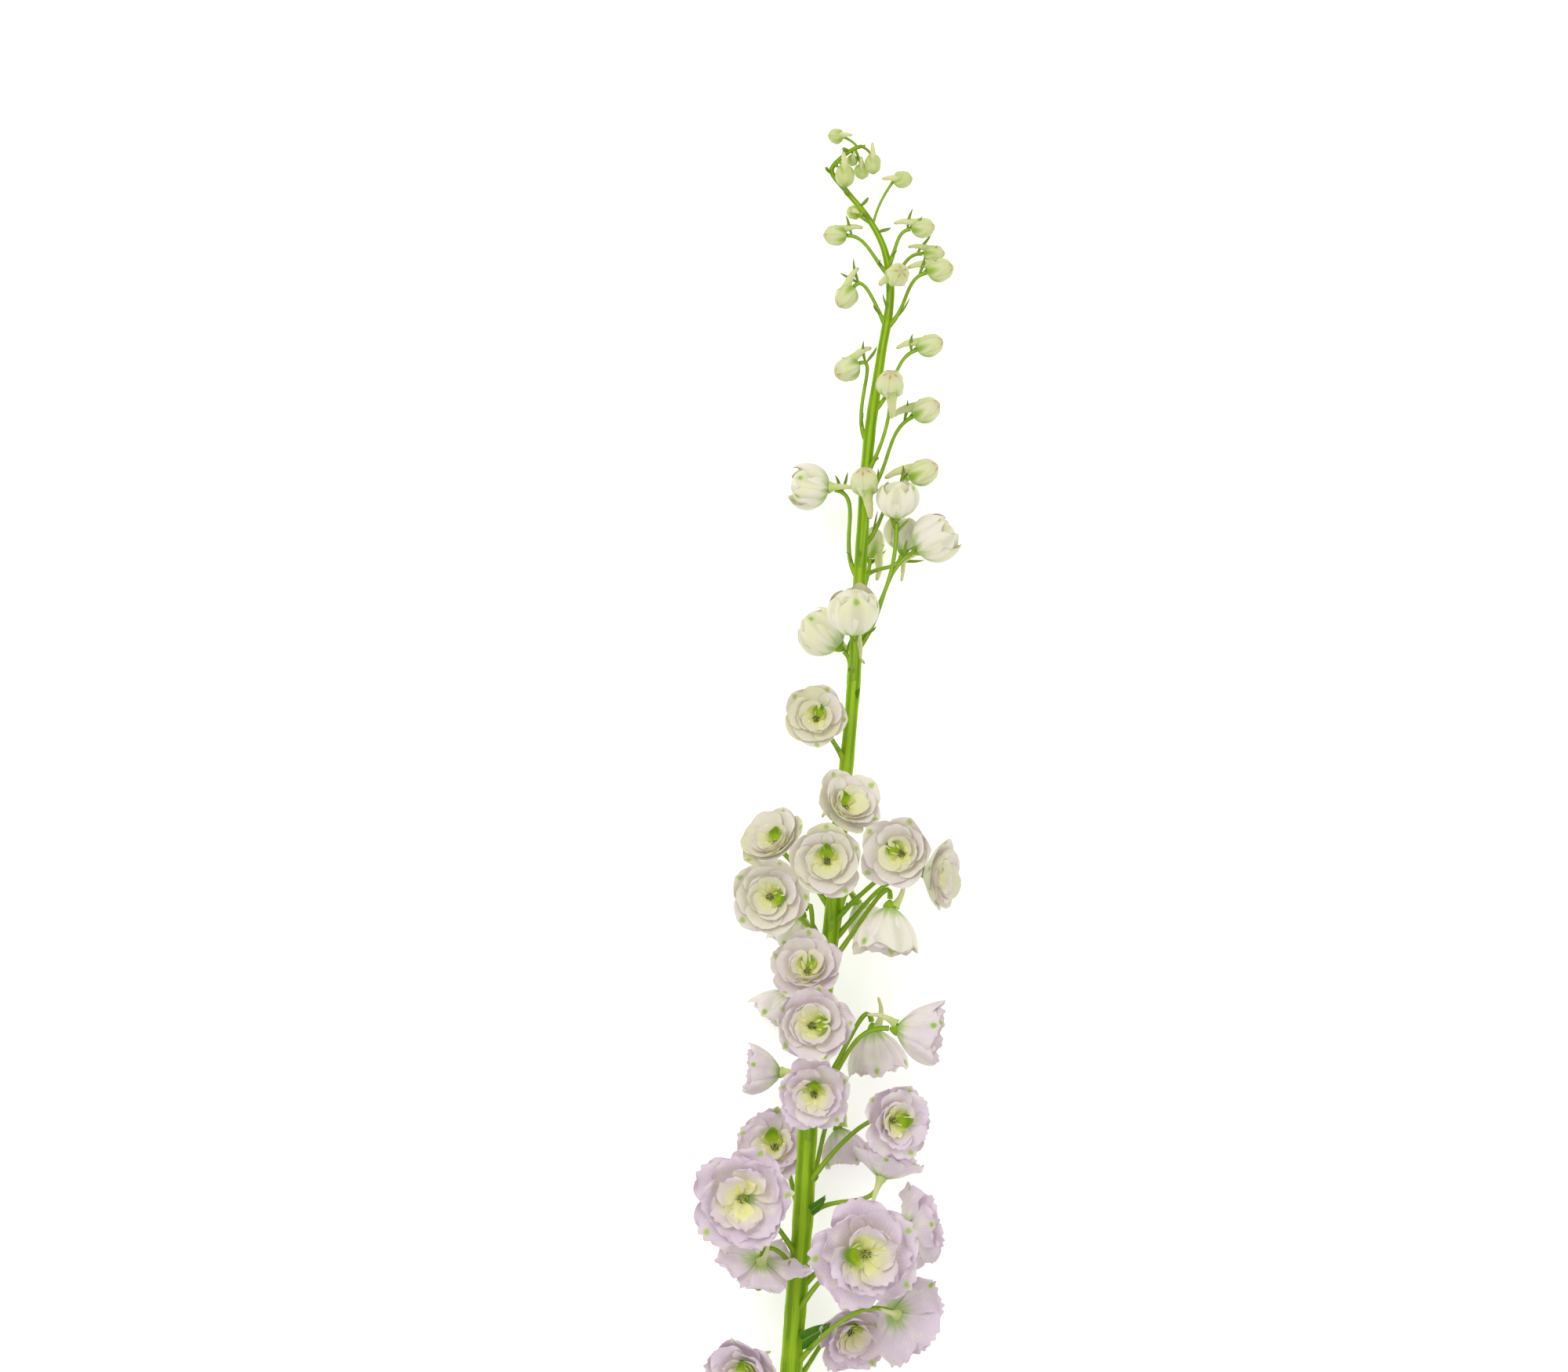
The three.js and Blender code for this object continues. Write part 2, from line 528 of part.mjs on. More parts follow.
// Grows the pedicel, and on a bud or a cup its bracts, that carries a floret by its back.
function carry(kind, footY, at, facing, depth, seed) {
  const back = vec(at).addScaledVector(vec(facing).normalize(), -depth - SEAT_GAP);
  const curve = pedicelCurve(footY, back, facing);
  stemSolids.push(pedicel(curve, PEDICELS[kind]));
  if (kind !== 'bloom') stemSolids.push(...bractsOn(curve, seed));
}

BUDS.forEach(([name, at, facing, spurSide, length, width, footY], i) => {
  const bud = budSolid(length, width, BUD.lobes * 2, BUD.rings, BUD_SPUR.length);
  stand(name, bud, placing(at, facing, spurSide), materials.bud);
  carry('bud', footY, at, facing, length / 2, i + 200);
});

FLORETS.forEach(([name, form, at, facing, spurSide, length, footY], i) => {
  const place = placing(at, facing, spurSide);
  stand(name, floretSolid(form, length, i), place, materials.petal);
  if (EYED.some((number) => name === `bloom_${number}`)) {
    stand(name.replace('bloom', 'eye'), eyeSolid(length), place, materials.eye);
  }
  const depth = length * RECEPTACLE.radius * RECEPTACLE.depth;
  carry(form === 'cup' ? 'cup' : 'bloom', footY, at, facing, depth, i + 300);
});

TIP_BUDS.forEach((bud) => stemSolids.push(...tipBud(bud)));

LEAVES.forEach(([footY, direction, length, width]) => {
  const foot = stemCurve.getPointAt(stemShareAt(footY));
  stemSolids.push(bract(foot, vec(direction), { length, width, thickness: LEAF_THICKNESS }));
});

stand('stem', fused(stemSolids), new THREE.Matrix4(), materials.stem);

export default group;
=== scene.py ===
"""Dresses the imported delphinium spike: ribbed stem and stalks, bracts, leaves, buds, half-open cups
and double blooms with their eyes, lying on a pale floor. Lengths in the tables are millimetres."""

import bisect
import functools
import math

import bmesh
import bpy
from mathutils import Matrix, Vector, noise


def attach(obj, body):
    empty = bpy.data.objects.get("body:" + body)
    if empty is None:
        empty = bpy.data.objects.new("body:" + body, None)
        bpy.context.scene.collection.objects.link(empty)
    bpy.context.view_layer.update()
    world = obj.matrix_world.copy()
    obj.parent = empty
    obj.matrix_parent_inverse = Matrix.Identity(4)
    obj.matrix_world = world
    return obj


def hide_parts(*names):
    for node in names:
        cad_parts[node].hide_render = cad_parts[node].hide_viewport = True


bl_info = {
    "name": "Double delphinium spike",
    "version": (1, 0, 0),
    "blender": (4, 5, 0),
    "location": "3D View > Sidebar > Delphinium",
    "description": "Grows a cut spike of double delphinium over its packed frame",
    "category": "Add Mesh",
}

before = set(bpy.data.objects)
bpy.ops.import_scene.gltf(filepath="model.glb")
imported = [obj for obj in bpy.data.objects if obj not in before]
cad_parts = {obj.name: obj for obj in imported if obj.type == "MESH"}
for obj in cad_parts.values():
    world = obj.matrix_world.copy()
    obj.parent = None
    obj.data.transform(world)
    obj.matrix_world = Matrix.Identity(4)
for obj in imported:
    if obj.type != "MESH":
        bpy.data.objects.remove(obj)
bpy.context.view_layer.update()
MM = 0.001  # metres in a millimetre

# ---------------------------------------------------------------- where everything grows

# The stem's centre line and radius from the cut end to the nodding tip: x, y, z, radius.
STEM_LINE = [
    [-35, -410, 5.2, 5.9],
    [-31, -360, 10, 5.9],
    [-27, -310, 15.5, 5.8],
    [-22, -262, 21.5, 5.7],
    [-18.5, -208, 27, 5.6],
    [-14, -152, 31, 5.2],
    [-11, -100, 33, 4.8],
    [-5, -50, 34, 4.4],
    [1, 2, 34, 4.1],
    [6.5, 62, 34, 3.8],
    [12, 122, 33, 3.4],
    [16, 190, 31, 3.2],
    [20, 248, 29, 3.0],
    [26, 290, 27, 2.5],
    [31, 324, 25, 2.1],
    [28, 346, 24, 1.8],
    [20, 362, 23, 1.6],
    [8.8, 376, 22, 1.5],
    [0.8, 387, 22, 1.3],
    [5.2, 393, 22, 1.2],
    [12.8, 398.4, 22, 1.1],
    [18, 400, 21, 1.0],
]

# Closed buds: node, centre, facing, side of the spur, length, width, y of the stalk's foot.
BUDS = [
    ["bud_01", [2.8, 353.6, 24], [-1, 0, 0.2], [0, 1, 0], 12, 10, 334],
    ["bud_02", [47.6, 357.2, 26], [1, 0.1, 0.1], [0, 1, 0.3], 12, 10, 339],
    ["bud_03", [53.5, 344.8, 16], [1, 0, 0], [0, 1, 0], 11, 8.5, 328],
    ["bud_04", [56.4, 335.5, 28], [1, 0.2, 0.2], [0, 1, 0], 13.5, 11.5, 307],
    ["bud_05", [34.4, 332, 41], [0.3, 0.25, 1], [-1, -0.2, 0], 13, 11.5, 310],
    ["bud_06", [8.4, 322, 24], [-0.6, -0.8, 0.2], [0.3, 1, 0], 13, 11, 308],
    ["bud_07", [51.2, 296.8, 28], [1, 0.35, 0.2], [-0.3, 1, 0], 14, 11, 264],
    ["bud_08", [8.8, 284.4, 31], [-0.8, -0.4, 0.35], [0.3, 1, 0], 14, 12, 248],
    ["bud_09", [30.8, 276, 45], [0, 0.75, 0.7], [0.1, 0, 1], 15, 13.5, 232],
    ["bud_10", [49.2, 263.6, 29], [1, 0.5, 0.25], [-0.3, 1, 0], 15, 12.5, 220],
    ["bud_11", [47.6, 231.6, 32], [1, 0.45, 0.2], [-0.3, 1, 0], 16, 13, 194],
    ["bud_12", [17.6, 226, 45], [-0.1, 0.8, 0.6], [0.1, 0, 1], 16, 13.5, 182],
    ["bud_13", [22, 196, 5.6], [0.1, 0.9, -0.05], [1, 0, 0.4], 16, 12, 160],
]

# Tip buds: centre, facing, length, width, and the share of the stem where the stalk grows.
TIP_BUDS = [
    [[3.2, 404.8, 22], [-1, 0.05, 0.1], 8, 7.5, 0.995],
    [[7.6, 384, 26], [0.1, -1, 0.3], 12, 9.5, 0.977],
    [[22, 390.4, 23], [0.05, -1, 0.1], 10.5, 8, 0.995],
    [[16.4, 387, 17], [0.1, -1, -0.2], 8, 7.5, 0.993],
    [[11.6, 392.6, 18], [-0.2, -1, -0.4], 6, 5.5, 0.99],
    [[37.2, 382.4, 23], [1, 0.05, 0.1], 10, 8.5, 0.93],
    [[12.4, 366, 15], [-0.5, 0.4, -0.8], 8, 7, 0.93],
]

# Cups and blooms: node, form, throat, facing, side of the spur, petal length, y of the stalk's foot.
FLORETS = [
    ["cup_01", "cup", [34, 208, 44], [0, 1, 0.3], [-0.6, 0, -1], 22, 146],
    ["cup_02", "cup", [36.8, 191.6, 26], [0.1, 1, 0], [0.3, 0, -1], 20, 177],
    ["cup_03", "cup", [44, 191.5, 40], [0.85, 0.55, 0.1], [0.3, 0, -1], 26, 142],
    ["cup_04", "cup", [-0.5, 223, 31], [-1, 0.15, 0.1], [0, 0.4, 1], 23, 178],
    ["cup_05", "cup", [12.2, 148.5, 49], [-0.05, 1, 0.35], [0.5, 0, -1], 28, 124],
    ["cup_06", "cup", [4.5, 142, 25], [-0.75, 0.65, 0], [0.4, 0.3, -1], 27, 118],
    ["bloom_01", "bowl", [-6.8, 105.2, 47], [-0.1, 0.15, 1], [0.5, 1, 0], 16, 84],
    ["bloom_02", "bowl", [5.5, 58, 49], [0.45, 0.5, 0.75], [-0.3, 1, 0], 17.5, 26],
    ["bloom_03", "bowl", [-1.6, 33.6, 66], [-0.05, 0.05, 1], [0, 1, 0], 18.5, -4],
    ["bloom_04", "bowl", [-29.6, 14.8, 52], [-0.15, 0, 1], [1, 0, 0], 19, -14],
    ["bloom_05", "bowl", [-26, 39, 30], [-0.4, 0.5, 0.6], [0, 1, 0], 17, 8],
    ["bloom_06", "bowl", [36.4, 36.8, 57], [-0.25, 0.1, 1], [-0.8, 0.6, 0], 18, 2],
    ["bloom_07", "bowl", [48, 25, 31], [0.9, -0.05, 0.35], [0, 1, 0], 18, -8],
    ["bloom_08", "bell", [30, 10, 54], [-0.1, -1, 0.12], [1, 0, -0.1], 30, -20],
    ["bloom_09", "bell", [14, 10, 11], [0.5, -1, 0], [0, 0, -1], 20, -30],
    ["bloom_10", "bell", [-14, 4, 18], [-0.4, -1, -0.1], [-1, 0, 0], 22, -36],
    ["bloom_11", "bowl", [-11.2, -25, 50], [-0.1, 0.55, 0.85], [0, 1, 0], 18, -62],
    ["bloom_12", "bowl", [-8.8, -50, 70], [0, 0.1, 1], [1, 0.1, 0], 20, -84],
    ["bloom_13", "open", [-8.4, -84, 60], [0, -0.15, 1], [0, 1, 0], 18, -112],
    ["bloom_14", "bell", [-25, -76, 39], [-1, 0.1, 0.05], [0, 0.3, 1], 23, -106],
    ["bloom_15", "bell", [33.5, -53, 50], [1, -0.12, 0.12], [0, 1, 0], 30, -92],
    ["bloom_16", "bell", [22, -54, 23], [0.15, -1, -0.05], [1, 0, 0.4], 28, -88],
    ["bloom_17", "open", [30, -98, 60], [0.5, -0.05, 0.85], [1, 0, 0], 19, -132],
    ["bloom_18", "bowl", [26, -130, 38.5], [0.35, 1, -0.1], [0, 0.3, 1], 20, -150],
    ["bloom_19", "open", [15.6, -164.4, 76], [0.2, 0, 1], [-1, 0.05, 0], 27, -198],
    ["bloom_20", "open", [38, -156, 44], [0.75, 0.1, -0.4], [0, 1, 0], 20.5, -186],
    ["bloom_21", "open", [32, -197, 50], [0.6, -0.3, -0.6], [0, 0, 1], 23, -226],
    ["bloom_22", "bowl", [9, -208, 20], [0.3, -0.4, 0.8], [0, 1, 0], 19, -236],
    ["bloom_23", "open", [-43.6, -138, 58], [-0.1, 0, 1], [1, 0, 0], 24.5, -170],
    ["bloom_24", "star", [-35.5, -170, 47], [-0.2, -0.75, -0.5], [0.3, 0.4, 1], 24, -178],
    ["bloom_25", "open", [-27, -116, 13.5], [-0.3, 0.25, 0.9], [0, 1, 0], 20, -150],
    ["bloom_26", "bowl", [-38, -228, 42], [-0.5, -0.2, 0.8], [0, 1, 0], 22, -256],
    ["bloom_27", "bowl", [6, -248, 48], [0.4, -0.3, 0.85], [-1, 0, 0], 22, -270],
    ["bloom_28", "bell", [-20, -36, 12], [-0.6, -0.7, 0], [-1, 0, 0], 24, -72],
    ["bloom_29", "bell", [4, -106, 12], [0.3, -0.9, 0], [1, 0, 0], 24, -140],
]

# Blooms open so far that their eye is a piece of its own.
EYED = ["01", "03", "04", "06", "11", "12", "13", "17", "19", "23", "27"]

# Leaves on the stem: y of the foot, direction, length, width.
LEAVES = [
    [-218, [1, 0.9, 0.5], 30, 10],
    [-150, [0.9, 0.9, 0.6], 22, 5.3],
    [64, [1, 0.15, 0.5], 16, 2.6],
    [112, [0.5, 0.9, 0.3], 12, 2.4],
    [-246, [-1, 0.8, 0.3], 26, 7.4],
    [-286, [0.6, 1, 0.8], 34, 10],
]

# How each form of floret holds its sepals: the angles above the disc at root and tip, the width
# against the length, the reach against the table's length, how far they stray, how their margins
# ruffle and how their tips curl in.
FORMS = {
    "cup": ((10, 134), 0.98, 1.06, 2.5, 0.1, 0.0),
    "bell": ((34, 78), 0.88, 1, 1.2, 0.07, 0.02),
    "bowl": ((26, 39), 1.19, 1.22, 5, 0.09, 0.03),
    "open": ((25, 17), 1.14, 1.13, 7, 0.15, 0.02),
    "star": ((18, -20), 0.76, 1.12, 6, 0.2, 0.0),
}
CLOSED_FORMS = ("cup", "bell")

# Rings inside the sepals: directions of the petals, length and width against the sepals', angles at
# root and tip, and depth, from 0 for a sepal to 1 for the innermost petal.
FIRST_RING = (126, 198, 270, 342, 54)
RINGS = {
    "cup": [(FIRST_RING, 1.0, 0.94, (14, 146), 0.1)],
    "bell": [(FIRST_RING, 0.94, 0.95, (38, 82), 0.15), ((150, 222, 294, 6, 78), 0.8, 0.85, (48, 94), 0.45)],
    "bowl": [(FIRST_RING, 0.92, 0.96, (34, 50), 0.2), ((164, 217, 270, 323, 16), 0.72, 0.8, (46, 60), 0.55)],
    "open": [(FIRST_RING, 0.93, 0.96, (33, 37), 0.2), ((160, 226, 296, 2), 0.8, 0.74, (48, 54), 0.5)],
    "star": [(FIRST_RING, 0.76, 0.74, (30, 2), 0.2), ((150, 215, 270, 325, 30), 0.6, 0.62, (48, 24), 0.55)],
}
SEPAL_COUNT = 5
HIDDEN_THROATS = ["23"]  # blooms whose inner petals lie over the throat
LILAC_SLOT = ["19", "20", "21", "22", "23", "24", "25", "26", "27", "29"]  # blooms of the lower spike

PETAL_WIDEST = 0.62  # where along its length a petal is widest
TIP_SQUARENESS = 0.7
LEAST_BOW = 0.24  # the tightest that a petal wraps round its floret, against its length
MIDRIB = (0.04, 0.16)  # depth and width of the groove along its middle, against half its width
SEPAL_CLAW = 1.2  # how slender a sepal stays near its root, and then an innermost petal
PETAL_CLAW = 1.9
PLEAT = {"closed": 0.12, "spread": 0.03}  # depth of the folds along a petal, against half its width
PETAL_OVERLAP = {"closed": 0.035, "spread": 0.05}  # how far one side rides over the next petal
LENGTH_STRAY = 0.075  # how much longer or shorter a petal is than its rule says
FLUSH_STRAY = 0.12  # and how much more or less lilac
CUP_FLUSH = 0.08
PALEST_FLUSH = 0.16  # of the blooms above the first of these heights, and 1 below the second
FLUSH_HEIGHTS = (60, -190)
BUD_GREEN = 0.35  # of the closed buds above the second of these heights, and none below the first
BUD_HEIGHTS = (230, 350)
TIP_GREEN = 0.6
BUD_SPUR = 1.1  # length of a bud's spur against the bud's, and of a tip bud's
TIP_SPUR = 0.9
# The rule for a petal starts from this. Its sides lift by the hollow, against half the width.
PLAIN_PETAL = {
    **dict.fromkeys(("ragged", "point", "pleat", "curl", "flush", "spot"), 0),
    "corner": 0.2,
    "hollow": 0.04,
    "finishes": ("waxy_petal_face", "waxy_petal_back"),
}
EYE_PETAL = dict(PLAIN_PETAL, claw=1.3, ruffle=0.18, crumple=0.1, curl=-0.03, point=0.1, overlap=0.1)
EYE_PETAL.update(depth=1, finishes=("yellow_eye_petal",) * 2)
EYE_RING = (166, 218, 270, 322, 14)
EYE_RISE = {"bell": (66, 84), "open": (52, 22)}  # angles at root and tip, in a bell and in the rest
EYE_STRAY = 6  # degrees
THROAT = dict(PLAIN_PETAL, angle=90, rise=(30, 62), claw=0.9, hollow=0.65, overlap=0, ruffle=0.1)
THROAT.update(crumple=0.05, depth=1, finishes=("green_throat",) * 2)
ROOT_RING = 0.05  # radius of the ring that petals leave, against their length
RECEPTACLE = 0.145  # its radius, against the petals' length, and its depth against its radius
RECEPTACLE_DEPTH = 0.8
SEAT_GAP = 0.3  # between a stalk and the floret on it
STAMENS = 12
STAMEN_TURN = 2.4  # radians from one stamen to the next
SPUR_SIZE = (16, 1.9, 5)  # length, radius at the root, and how far it stands beside the middle
SPUR_TAPER = 0.66
# The spur's middle line: how far it stands aside and how far down it is, against its size.
SPUR_LINE = ((0.55, 0), (1, 0.3), (1.25, 0.65), (1.1, 1))

STALKS = {"bud": 0.9, "cup": 1.0, "bloom": 1.15}  # radius of a stalk in its middle
STEM_CLIMB = 0.93  # the share of the stem below the bend of its tip
SWELL = 0.06  # how much the stem swells at a stalk's foot, and how far along it, in mm
SWELL_REACH = 5
CUT_WALL = 1.5  # width of the pale ring of the cut end, and depth of the pith inside it
PITH_DEPTH = 2.5
# Width and thickness of the bracts at a stalk's foot, below a bud or cup, and at the nodding tip.
FOOT_BRACT = (1.2, 0.4)
BRACTEOLE = (1.7, 0.45)
TIP_BRACT = (1.9, 0.5)
BARE_BLOOMS = 0.55  # the share of blooms whose stalk has no bract left
BRACT_LENGTH = 12  # the shortest one
LEAF_THICKNESS = 0.7

TABLE_PRESS = 1.2  # what would come lower than this is pressed flat towards the table
SHARP = 70  # degrees between faces past which an edge shows
SEAM = 1e-3  # points of a seam that lie closer than this become one
AIM = (-0.0236, 0.122, 0.045)  # where the lamps and the camera point, in metres
# Lamps: name, place and width in metres, and share of the set power.
LAMPS = (("soft_box", (-1.1, 1.5, 2.4), 1.6, 1), ("side_fill", (1.8, -0.6, 1.9), 2.0, 0.35))
FLOOR_REACH = 9  # metres from the middle of the floor to its edge
SENSOR = 36  # width of the camera's sensor

# How finely each body is meshed: round or across it, and along it.
MESHED = {
    "stem": (50, 430),
    "stalk": (12, 30),
    "tip_stalk": (10, 12),
    "leaf": (6, 14),
    "petal": (12, 14),
    "spur": (14, 26),
    "receptacle": (20, 10),
    "bud": (50, 22),
    "core": (40, 18),
    "filament": (5, 4),
    "anther": (7, 5),
}

# Finishes in the order that they take on a piece that has several.
FINISHES = [
    "waxy_petal_face",
    "waxy_petal_back",
    "bud_sepal",
    "horn_spur",
    "green_receptacle",
    "yellow_eye_petal",
    "green_throat",
    "pale_filament",
    "dark_anther",
    "ribbed_stem_skin",
    "stalk_skin",
    "bract_skin",
    "leaf_blade",
    "stem_pith",
]


# ---------------------------------------------------------------- settings


def linear(code):
    """An sRGB hex colour as the linear colour that shaders take."""
    shares = [int(code[i : i + 2], 16) / 255 for i in (1, 3, 5)]
    return tuple(s / 12.92 if s <= 0.04045 else ((s + 0.055) / 1.055) ** 2.4 for s in shares)


def colour_setting(label, description, code):
    return bpy.props.FloatVectorProperty(
        name=label, description=description, subtype="COLOR", size=3, min=0, max=1, default=linear(code)
    )


def size_setting(label, description, default, **more):
    return bpy.props.FloatProperty(name=label, description=description, default=default, **more)


class PetalSettings(bpy.types.PropertyGroup):
    """Sizes and colours of the petals."""

    thickness: size_setting("Thickness", "A petal at its middle", 0.0005, unit="LENGTH")
    ruffle: size_setting("Ruffle", "Strength of the waves in the margins", 1.0, min=0, subtype="FACTOR")
    crumple: size_setting("Crumple", "Soft dents against a petal's length", 0.055, subtype="FACTOR")
    white: colour_setting("White", "Young petals near the tip of the spike", "#e2dbd1")
    lilac: colour_setting("Lilac", "Older petals near its foot", "#d5c3d3")
    cream: colour_setting("Cream", "Roots of the inner petals", "#e4e2a6")
    rim: colour_setting("Rim", "The thin drying edge of a petal", "#c7b5a3")
    vein: colour_setting("Veins", "Fine lines along a petal", "#b2a2af")
    green: colour_setting("Green", "Roots of the sepals and the spots at their tips", "#8bb120")
    yellow: colour_setting("Yellow", "Small petals of the eye", "#efec9e")


class StemSettings(bpy.types.PropertyGroup):
    """Sizes and colours of the stem, stalks, bracts and leaves."""

    rib_depth: size_setting("Furrows", "Depth against the stem's radius", 0.11, subtype="FACTOR")
    ribs: bpy.props.IntProperty(name="Ribs", description="Ribs round the stem", default=5, min=3)
    # The rib tops carry a painted highlight and the furrows painted shade.
    lit_ridge: colour_setting("Ridge", "Tops of the ribs", "#9ac024")
    shaded_furrow: colour_setting("Furrow", "Between the ribs", "#608906")
    stalk: colour_setting("Stalk", "Flower stalks", "#93b431")
    leaf: colour_setting("Leaf", "Leaves low on the stem", "#538622")


class StageSettings(bpy.types.PropertyGroup):
    """Floor, light and camera."""

    floor: colour_setting("Floor", "Matt pale paper", "#f6f6f4")
    sky: size_setting("Fill", "Even light from all round", 0.76)
    glow: size_setting("Glow", "The floor's own light, as on a light table", 0.35)
    lamp: size_setting("Lamp", "Power of the soft box", 27, unit="POWER")
    distance: size_setting("Distance", "Camera above the flowers", 3.0, unit="LENGTH")
    lens: size_setting("Lens", "Focal length", 135, unit="CAMERA")


# ---------------------------------------------------------------- small tools


def draw(seed, n):
    """A steady draw between 0 and 1 for the nth choice made for a piece."""
    value = math.sin(seed * 12.9898 + n * 78.233) * 43758.5453
    return value - math.floor(value)


def spread(seed, n, reach):
    return (draw(seed, n) * 2 - 1) * reach


def eased(value, low, high):
    """0 below low, 1 above high, and a smooth step between."""
    share = min(max((value - low) / (high - low), 0), 1)
    return share * share * (3 - 2 * share)


def through(points, steps):
    """Points along a smooth line through the given ones."""
    knots = [Vector(p) for p in points]
    ends = [knots[0] * 2 - knots[1], *knots, knots[-1] * 2 - knots[-2]]
    made = []
    for a, b, c, d in zip(ends, ends[1:], ends[2:], ends[3:]):
        before, here, after = ((q - p).length ** 0.5 for p, q in ((a, b), (b, c), (c, d)))
        leaving = ((b - a) / before - (c - a) / (before + here) + (c - b) / here) * here
        arriving = ((c - b) / here - (d - b) / (here + after) + (d - c) / after) * here
        for i in range(steps):
            s = i / steps
            made.append(
                b * (2 * s**3 - 3 * s**2 + 1)
                + leaving * (s**3 - 2 * s**2 + s)
                + c * (3 * s**2 - 2 * s**3)
                + arriving * (s**3 - s**2)
            )
    return [*made, knots[-1]]


def between(reach, share):
    """Where a share of a measured length falls: the next mark, and how far on from the last one."""
    want = min(max(share, 0), 1) * reach[-1]
    after = min(max(bisect.bisect_left(reach, want), 1), len(reach) - 1)
    low, high = reach[after - 1 : after + 1]
    return after, (want - low) / (high - low)


class Line:
    """A line in space, read by the share of its length."""

    def __init__(self, points):
        self.points = points
        self.reach = [0.0]
        for a, b in zip(points, points[1:]):
            self.reach.append(self.reach[-1] + (b - a).length)
        self.length = self.reach[-1]

    def place(self, share):
        after, part = between(self.reach, share)
        return self.points[after - 1].lerp(self.points[after], part)

    def along(self, share):
        return (self.place(share + 0.004) - self.place(share - 0.004)).normalized()

    def frames(self, steps):
        """Place and two directions across, at even shares and without twist."""
        ahead = self.along(0)
        side = Vector((0, 0, 1)) if abs(ahead.z) < 0.9 else Vector((1, 0, 0))
        made = []
        for i in range(steps + 1):
            ahead = self.along(i / steps)
            side = (side - ahead * side.dot(ahead)).normalized()
            made.append((self.place(i / steps), side.copy(), ahead.cross(side)))
        return made


def placing(at, facing, spur_side):
    """A floret's place: its own +Z faces out and its own +Y holds the spur."""
    z = Vector(facing).normalized()
    y = Vector(spur_side)
    y = (y - z * y.dot(z)).normalized()
    turn = Matrix((y.cross(z), y, z)).transposed().to_4x4()
    return Matrix.Translation(at) @ turn


# ---------------------------------------------------------------- shapes

MARKS = ("flush", "depth", "spot")  # what the finishes read at each point of a piece


def new_shape():
    bm = bmesh.new()
    bm.loops.layers.uv.new("skin")
    for mark in MARKS:
        bm.verts.layers.float.new(mark)
    return bm


def paint(bm, verts, finish, marks=(0, 0, 0)):
    """Gives a new shape's faces their finish and its points their marks."""
    faces = {face for vert in verts for face in vert.link_faces}
    for face in faces:
        face.material_index = FINISHES.index(finish)
        face.smooth = True
    layers = [bm.verts.layers.float[mark] for mark in MARKS]
    for vert in verts:
        for layer, value in zip(layers, marks):
            vert[layer] = value
    return faces


def close(bm):
    """Sews a rolled sheet's seam and shuts its ends."""
    rim = [vert for vert in bm.verts if vert.is_boundary]
    bmesh.ops.remove_doubles(bm, verts=rim, dist=SEAM)
    return bmesh.ops.holes_fill(bm, edges=[edge for edge in bm.edges if edge.is_boundary])["faces"]


def tube(bm, line, radius_at, body, finish, marks=(0, 0, 0), relief=None):
    """A round body bent along a line."""
    sides, steps = MESHED[body]
    made = bmesh.ops.create_grid(bm, x_segments=sides, y_segments=steps, size=0.5, calc_uvs=True)["verts"]
    frames = line.frames(steps)
    for vert in made:
        turn, share = 2 * math.pi * (vert.co.x + 0.5), vert.co.y + 0.5
        place, side, other = frames[round(share * steps)]
        radius = radius_at(share) * (relief(turn, share) if relief else 1)
        vert.co = place + side * (math.cos(turn) * radius) + other * (math.sin(turn) * radius)
    paint(bm, made, finish, marks)
    return close(bm)


def rounded(bm, place, body, moved, finish, marks=(0, 0, 0)):
    """A round body on +Z, with each point of the unit sphere moved by a rule."""
    sides, rings = MESHED[body]
    made = bmesh.ops.create_uvsphere(bm, u_segments=sides, v_segments=rings, radius=1, calc_uvs=True)
    for vert in made["verts"]:
        vert.co = place @ Vector(moved(vert.co, math.atan2(vert.co.y, vert.co.x)))
    paint(bm, made["verts"], finish, marks)


def blade(bm, place, surface, body, thickness, finishes, marks=(0, 0, 0)):
    """A thin sheet over a rule of (across -1..1, along 0..1), thinning to its margins."""
    columns, rows = MESHED[body]
    halves, known = [], []
    for side, finish in zip((1, -1), finishes):
        made = bmesh.ops.create_grid(bm, x_segments=columns, y_segments=rows, size=0.5, calc_uvs=True)
        made = made["verts"]
        for i, vert in enumerate(made):
            if side > 0:
                across, along = 2 * vert.co.x, vert.co.y + 0.5
                point, normal = surface(across, along)
                fullness = max(0, (1 - across**6) * (1 - (2 * along - 1) ** 6))
                known.append((point, normal * (thickness / 2 * math.sqrt(fullness))))
            point, lift = known[i]
            vert.co = place @ (point + lift * side)
        faces = paint(bm, made, finish, marks)
        if side < 0:
            bmesh.ops.reverse_faces(bm, faces=list(faces))
        halves += made
    rim = [vert for vert in halves if vert.is_boundary]
    bmesh.ops.remove_doubles(bm, verts=rim, dist=SEAM)


def placed(name, data):
    """A new object in the scene that shows the data."""
    made = bpy.data.objects.new(name, data)
    bpy.context.scene.collection.objects.link(made)
    return made


